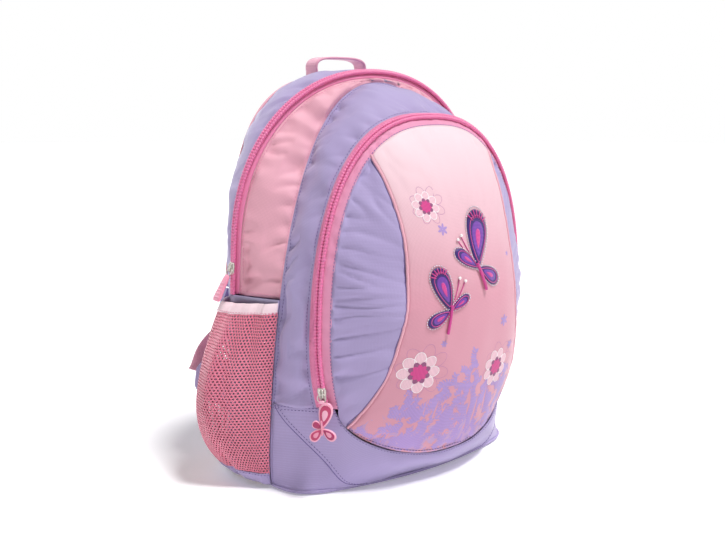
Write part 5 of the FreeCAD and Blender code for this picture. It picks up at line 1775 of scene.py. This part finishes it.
# The lilac foliage is printed first: sprays of small pointed leaves, crowded at the bottom of the panel.
sprays = random.Random(11)
leaves = []
for k in range(150):
    x = sprays.uniform(-84.0, 74.0)
    high = 101.0 + 22.0 * math.exp(-((x - 14.0) / 26.0) ** 2)
    z = 36.0 + (high - 36.0) * sprays.random() ** (1.25 if k < 112 else 0.35)
    heading, curl = sprays.uniform(0.0, 2 * math.pi), sprays.choice((-1, 1)) * sprays.uniform(0.05, 0.12)
    for step in range(sprays.randint(5, 9)):
        x, z = x + 2.5 * math.sin(heading), z + 2.5 * math.cos(heading)
        heading += curl * 2.5
        for way in (-0.85, 0.85, 0.0):
            long, wide = sprays.uniform(3.6, 5.6) * (0.55 if way == 0.0 else 1.0), sprays.uniform(1.5, 2.6)
            turn = heading + way
            loop = []
            for t in range(10):
                share = t / 5 if t <= 5 else 2 - t / 5
                off = wide / 2 * math.sin(math.pi * share) ** 0.8 * (1 if t <= 5 else -1)
                loop.append((x + long * share * math.sin(turn) + off * math.cos(turn),
                             z + long * share * math.cos(turn) - off * math.sin(turn)))
            if all(abs(p[0]) < print_edge(p[1]) - 1.5 and p[1] > seam_height(p[0]) + 2.0 for p in loop):
                leaves.append(loop)
print_piece("lilac_foliage", skin(leaves, 0.06), ink_lilac)
small = []
for x, z, size, turn in ((-30.0, 256.0, 5.6, 0.2), (45.0, 162.0, 6.0, 0.0), (-36.0, 151.0, 3.6, 0.5),
                         (62.0, 134.0, 5.0, 0.3), (55.0, 226.0, 2.6, 0.1)):
    small += petals(x, z, 6, size * 0.05, size, size * 0.42, turn)
print_piece("small_lilac_flowers", skin(small, 0.2), ink_lilac)

# ---------------------------------------------------------------- butterfly appliques
# Two butterflies are padded satin patches, edged with silver thread and sewn to the printed panel. Each has
# one big upper wing, two small ones, a magenta body and two feelers that end in pearls.
satin = {"thread": 0.9 * MM, "sheen": 0.2, "relief": 0.0002}
satin_violet = woven("violet_satin", "#2E1A5C", "#472A84", rough=0.28, **satin)
satin_magenta = woven("magenta_satin", "#C92F88", "#E25BA6", rough=0.3, **satin)
satin_orchid = woven("orchid_satin", "#6A3499", "#8249B4", rough=0.3, **satin)
# Lurex: a flat metallised film wound on thread. It glints, and it reads as broken silver dashes.
silver_thread = speckled("silver_metallic_thread", "#B9B4C4", "#F4F2F8", 1500.0,
                         {"Metallic": 0.45, "Roughness": 0.35}, detail=1.0, moulded=False)
# Acrylic bead with a pearl lacquer: white, with a soft clear gloss.
pearl = speckled("pearl_bead", "#F3ECEF", "#FFFDFB", 500.0,
                 {"Roughness": 0.22, "IOR": 1.5, "Coat Weight": 0.5}, moulded=False)


def padded_patch(name, loop, thick, lift, made):
    """A satin patch that is turned under at its edge and crowned by its padding."""
    cx, cz = sum(p.x for p in loop) / len(loop), sum(p.y for p in loop) / len(loop)
    out = pocket_out(cx, cz)
    verts, faces = [], []
    rings = ((1.0, 0.0), (1.0, 0.35), (0.94, 0.72), (0.8, 0.92), (0.55, 1.0), (0.28, 1.03))
    for share, high in rings:
        for p in loop:
            x, z = cx + (p.x - cx) * share, cz + (p.y - cz) * share
            verts.append(pocket_point(x, z, lift) + out * thick * high)
    count = len(loop)
    for k in range(len(rings) - 1):
        for i in range(count):
            a, b = k * count + i, k * count + (i + 1) % count
            faces.append([a, b, b + count, a + count])
    verts.append(pocket_point(cx, cz, lift) + out * thick * 1.03)
    verts.append(pocket_point(cx, cz, lift - 0.3))
    top = (len(rings) - 1) * count
    for i in range(count):
        faces.append([top + i, top + (i + 1) % count, len(verts) - 2])
        faces.append([(i + 1) % count, i, len(verts) - 1])
    piece = mesh_object(name, verts, faces, [made])
    if sum(polygon.normal.y * polygon.area for polygon in piece.data.polygons if polygon.index >= count) > 0:
        piece.data.flip_normals()
    return piece


def bead(centre, radius):
    """Points and faces of a small ball."""
    verts, faces = [], []
    for i in range(1, 8):
        for k in range(12):
            a, b = math.pi * i / 8, 2 * math.pi * k / 12
            way = Vector((math.sin(a) * math.cos(b), math.sin(a) * math.sin(b), math.cos(a)))
            verts.append(centre + way * radius)
    verts += [centre + Vector((0, 0, radius)), centre - Vector((0, 0, radius))]
    for i in range(6):
        for k in range(12):
            a, b = i * 12 + k, i * 12 + (k + 1) % 12
            faces.append([a, a + 12, b + 12, b])
    for k in range(12):
        faces.append([84, k, (k + 1) % 12])
        faces.append([72 + (k + 1) % 12, 72 + k, 85])
    return mesh_object("bead", verts, faces, [pearl])


butterflies = (
    ("butterfly_large", (6.0, 218.0), ((9, 54.0, 33.0), (-56, 32.0, 16.0), (118, 31.0, 20.0)), 161, 22.0,
     (-28, -38), 35.0),
    ("butterfly_small", (-30.0, 182.0), ((-18, 42.0, 25.0), (-118, 26.0, 16.0), (60, 24.0, 12.0)), 190, 22.0,
     (20, 33), 31.0),
)
for name, (x, z), lobes, tail, tail_long, feelers, feeler_long in butterflies:
    heart = Vector((x, z, 0))
    parts, edges = [], []
    for k, (angle, length, width) in enumerate(lobes):
        outline = wing(heart, angle, length, width, 1.0, 0.28)
        parts.append(padded_patch("wing", outline, 1.5, 0.3, satin_violet))
        inner = wing(heart, angle, length, width, 0.62, 0.28)
        parts.append(padded_patch("wing_inlay", inner, 0.5, 1.5, satin_orchid))
        inner = wing(heart, angle, length, width * 0.7, 0.34, 0.28)
        parts.append(padded_patch("wing_eye", inner, 0.45, 1.9, satin_magenta))
        inner = wing(heart, angle, length, width, 0.8, 0.28)
        cord = [(pocket_point(p.x, p.y, 1.75), pocket_out(p.x, p.y)) for p in inner + inner[:1]]
        parts.append(tube("wing_cord", cord, 0.42, satin_magenta, sides=6, ends=False))
        rim = wing(heart, angle, length, width, 1.1, 0.34)
        edges.append([(pocket_point(p.x, p.y, 0.5), pocket_out(p.x, p.y)) for p in rim + rim[:1]])
        if k == 0:
            way = math.radians(angle)
            for s in range(7):
                spread = math.radians(-54 + 18 * s)
                tip = heart + Vector((math.sin(way), math.cos(way), 0)) * (length - width * 0.45)
                a = tip + Vector((math.sin(way + spread), math.cos(way + spread), 0)) * width * 0.22
                b = tip + Vector((math.sin(way + spread), math.cos(way + spread), 0)) * width * 0.44
                line = [(pocket_point(*(a.lerp(b, t / 3)).xy, 2.0), pocket_out(a.x, a.y)) for t in range(4)]
                parts.append(tube("wing_ray", line, 0.62, satin_magenta, sides=6))
    way = math.radians(tail)
    line = []
    for t in range(15):
        p = heart + Vector((math.sin(way), math.cos(way), 0)) * (-5.0 + (tail_long + 5.0) * t / 14)
        line.append((pocket_point(p.x, p.y, 2.0), pocket_out(p.x, p.y)))
    parts.append(tube("butterfly_body", line, 1.5, satin_magenta, sides=10))
    for angle in feelers:
        way = math.radians(angle)
        line = []
        for t in range(13):
            p = heart + Vector((math.sin(way), math.cos(way), 0)) * (3.0 + (feeler_long - 3.0) * t / 12)
            p.x += 1.2 * math.sin(math.pi * t / 12) * math.copysign(1, angle)
            line.append((pocket_point(p.x, p.y, 0.6), pocket_out(p.x, p.y)))
        parts.append(tube("feeler", line, 0.45, satin_magenta, sides=6))
        end = line[-1][0]
        parts.append(bead(end + line[-1][1] * 0.9, 1.55))
    fix(join(name + "_applique", parts), "bend", "applique", name)
    fix(stitches(name + "_silver_edge", edges, silver_thread, pitch=2.6, length=1.7, width=0.9, sink=0.0),
        "bend", "applique")
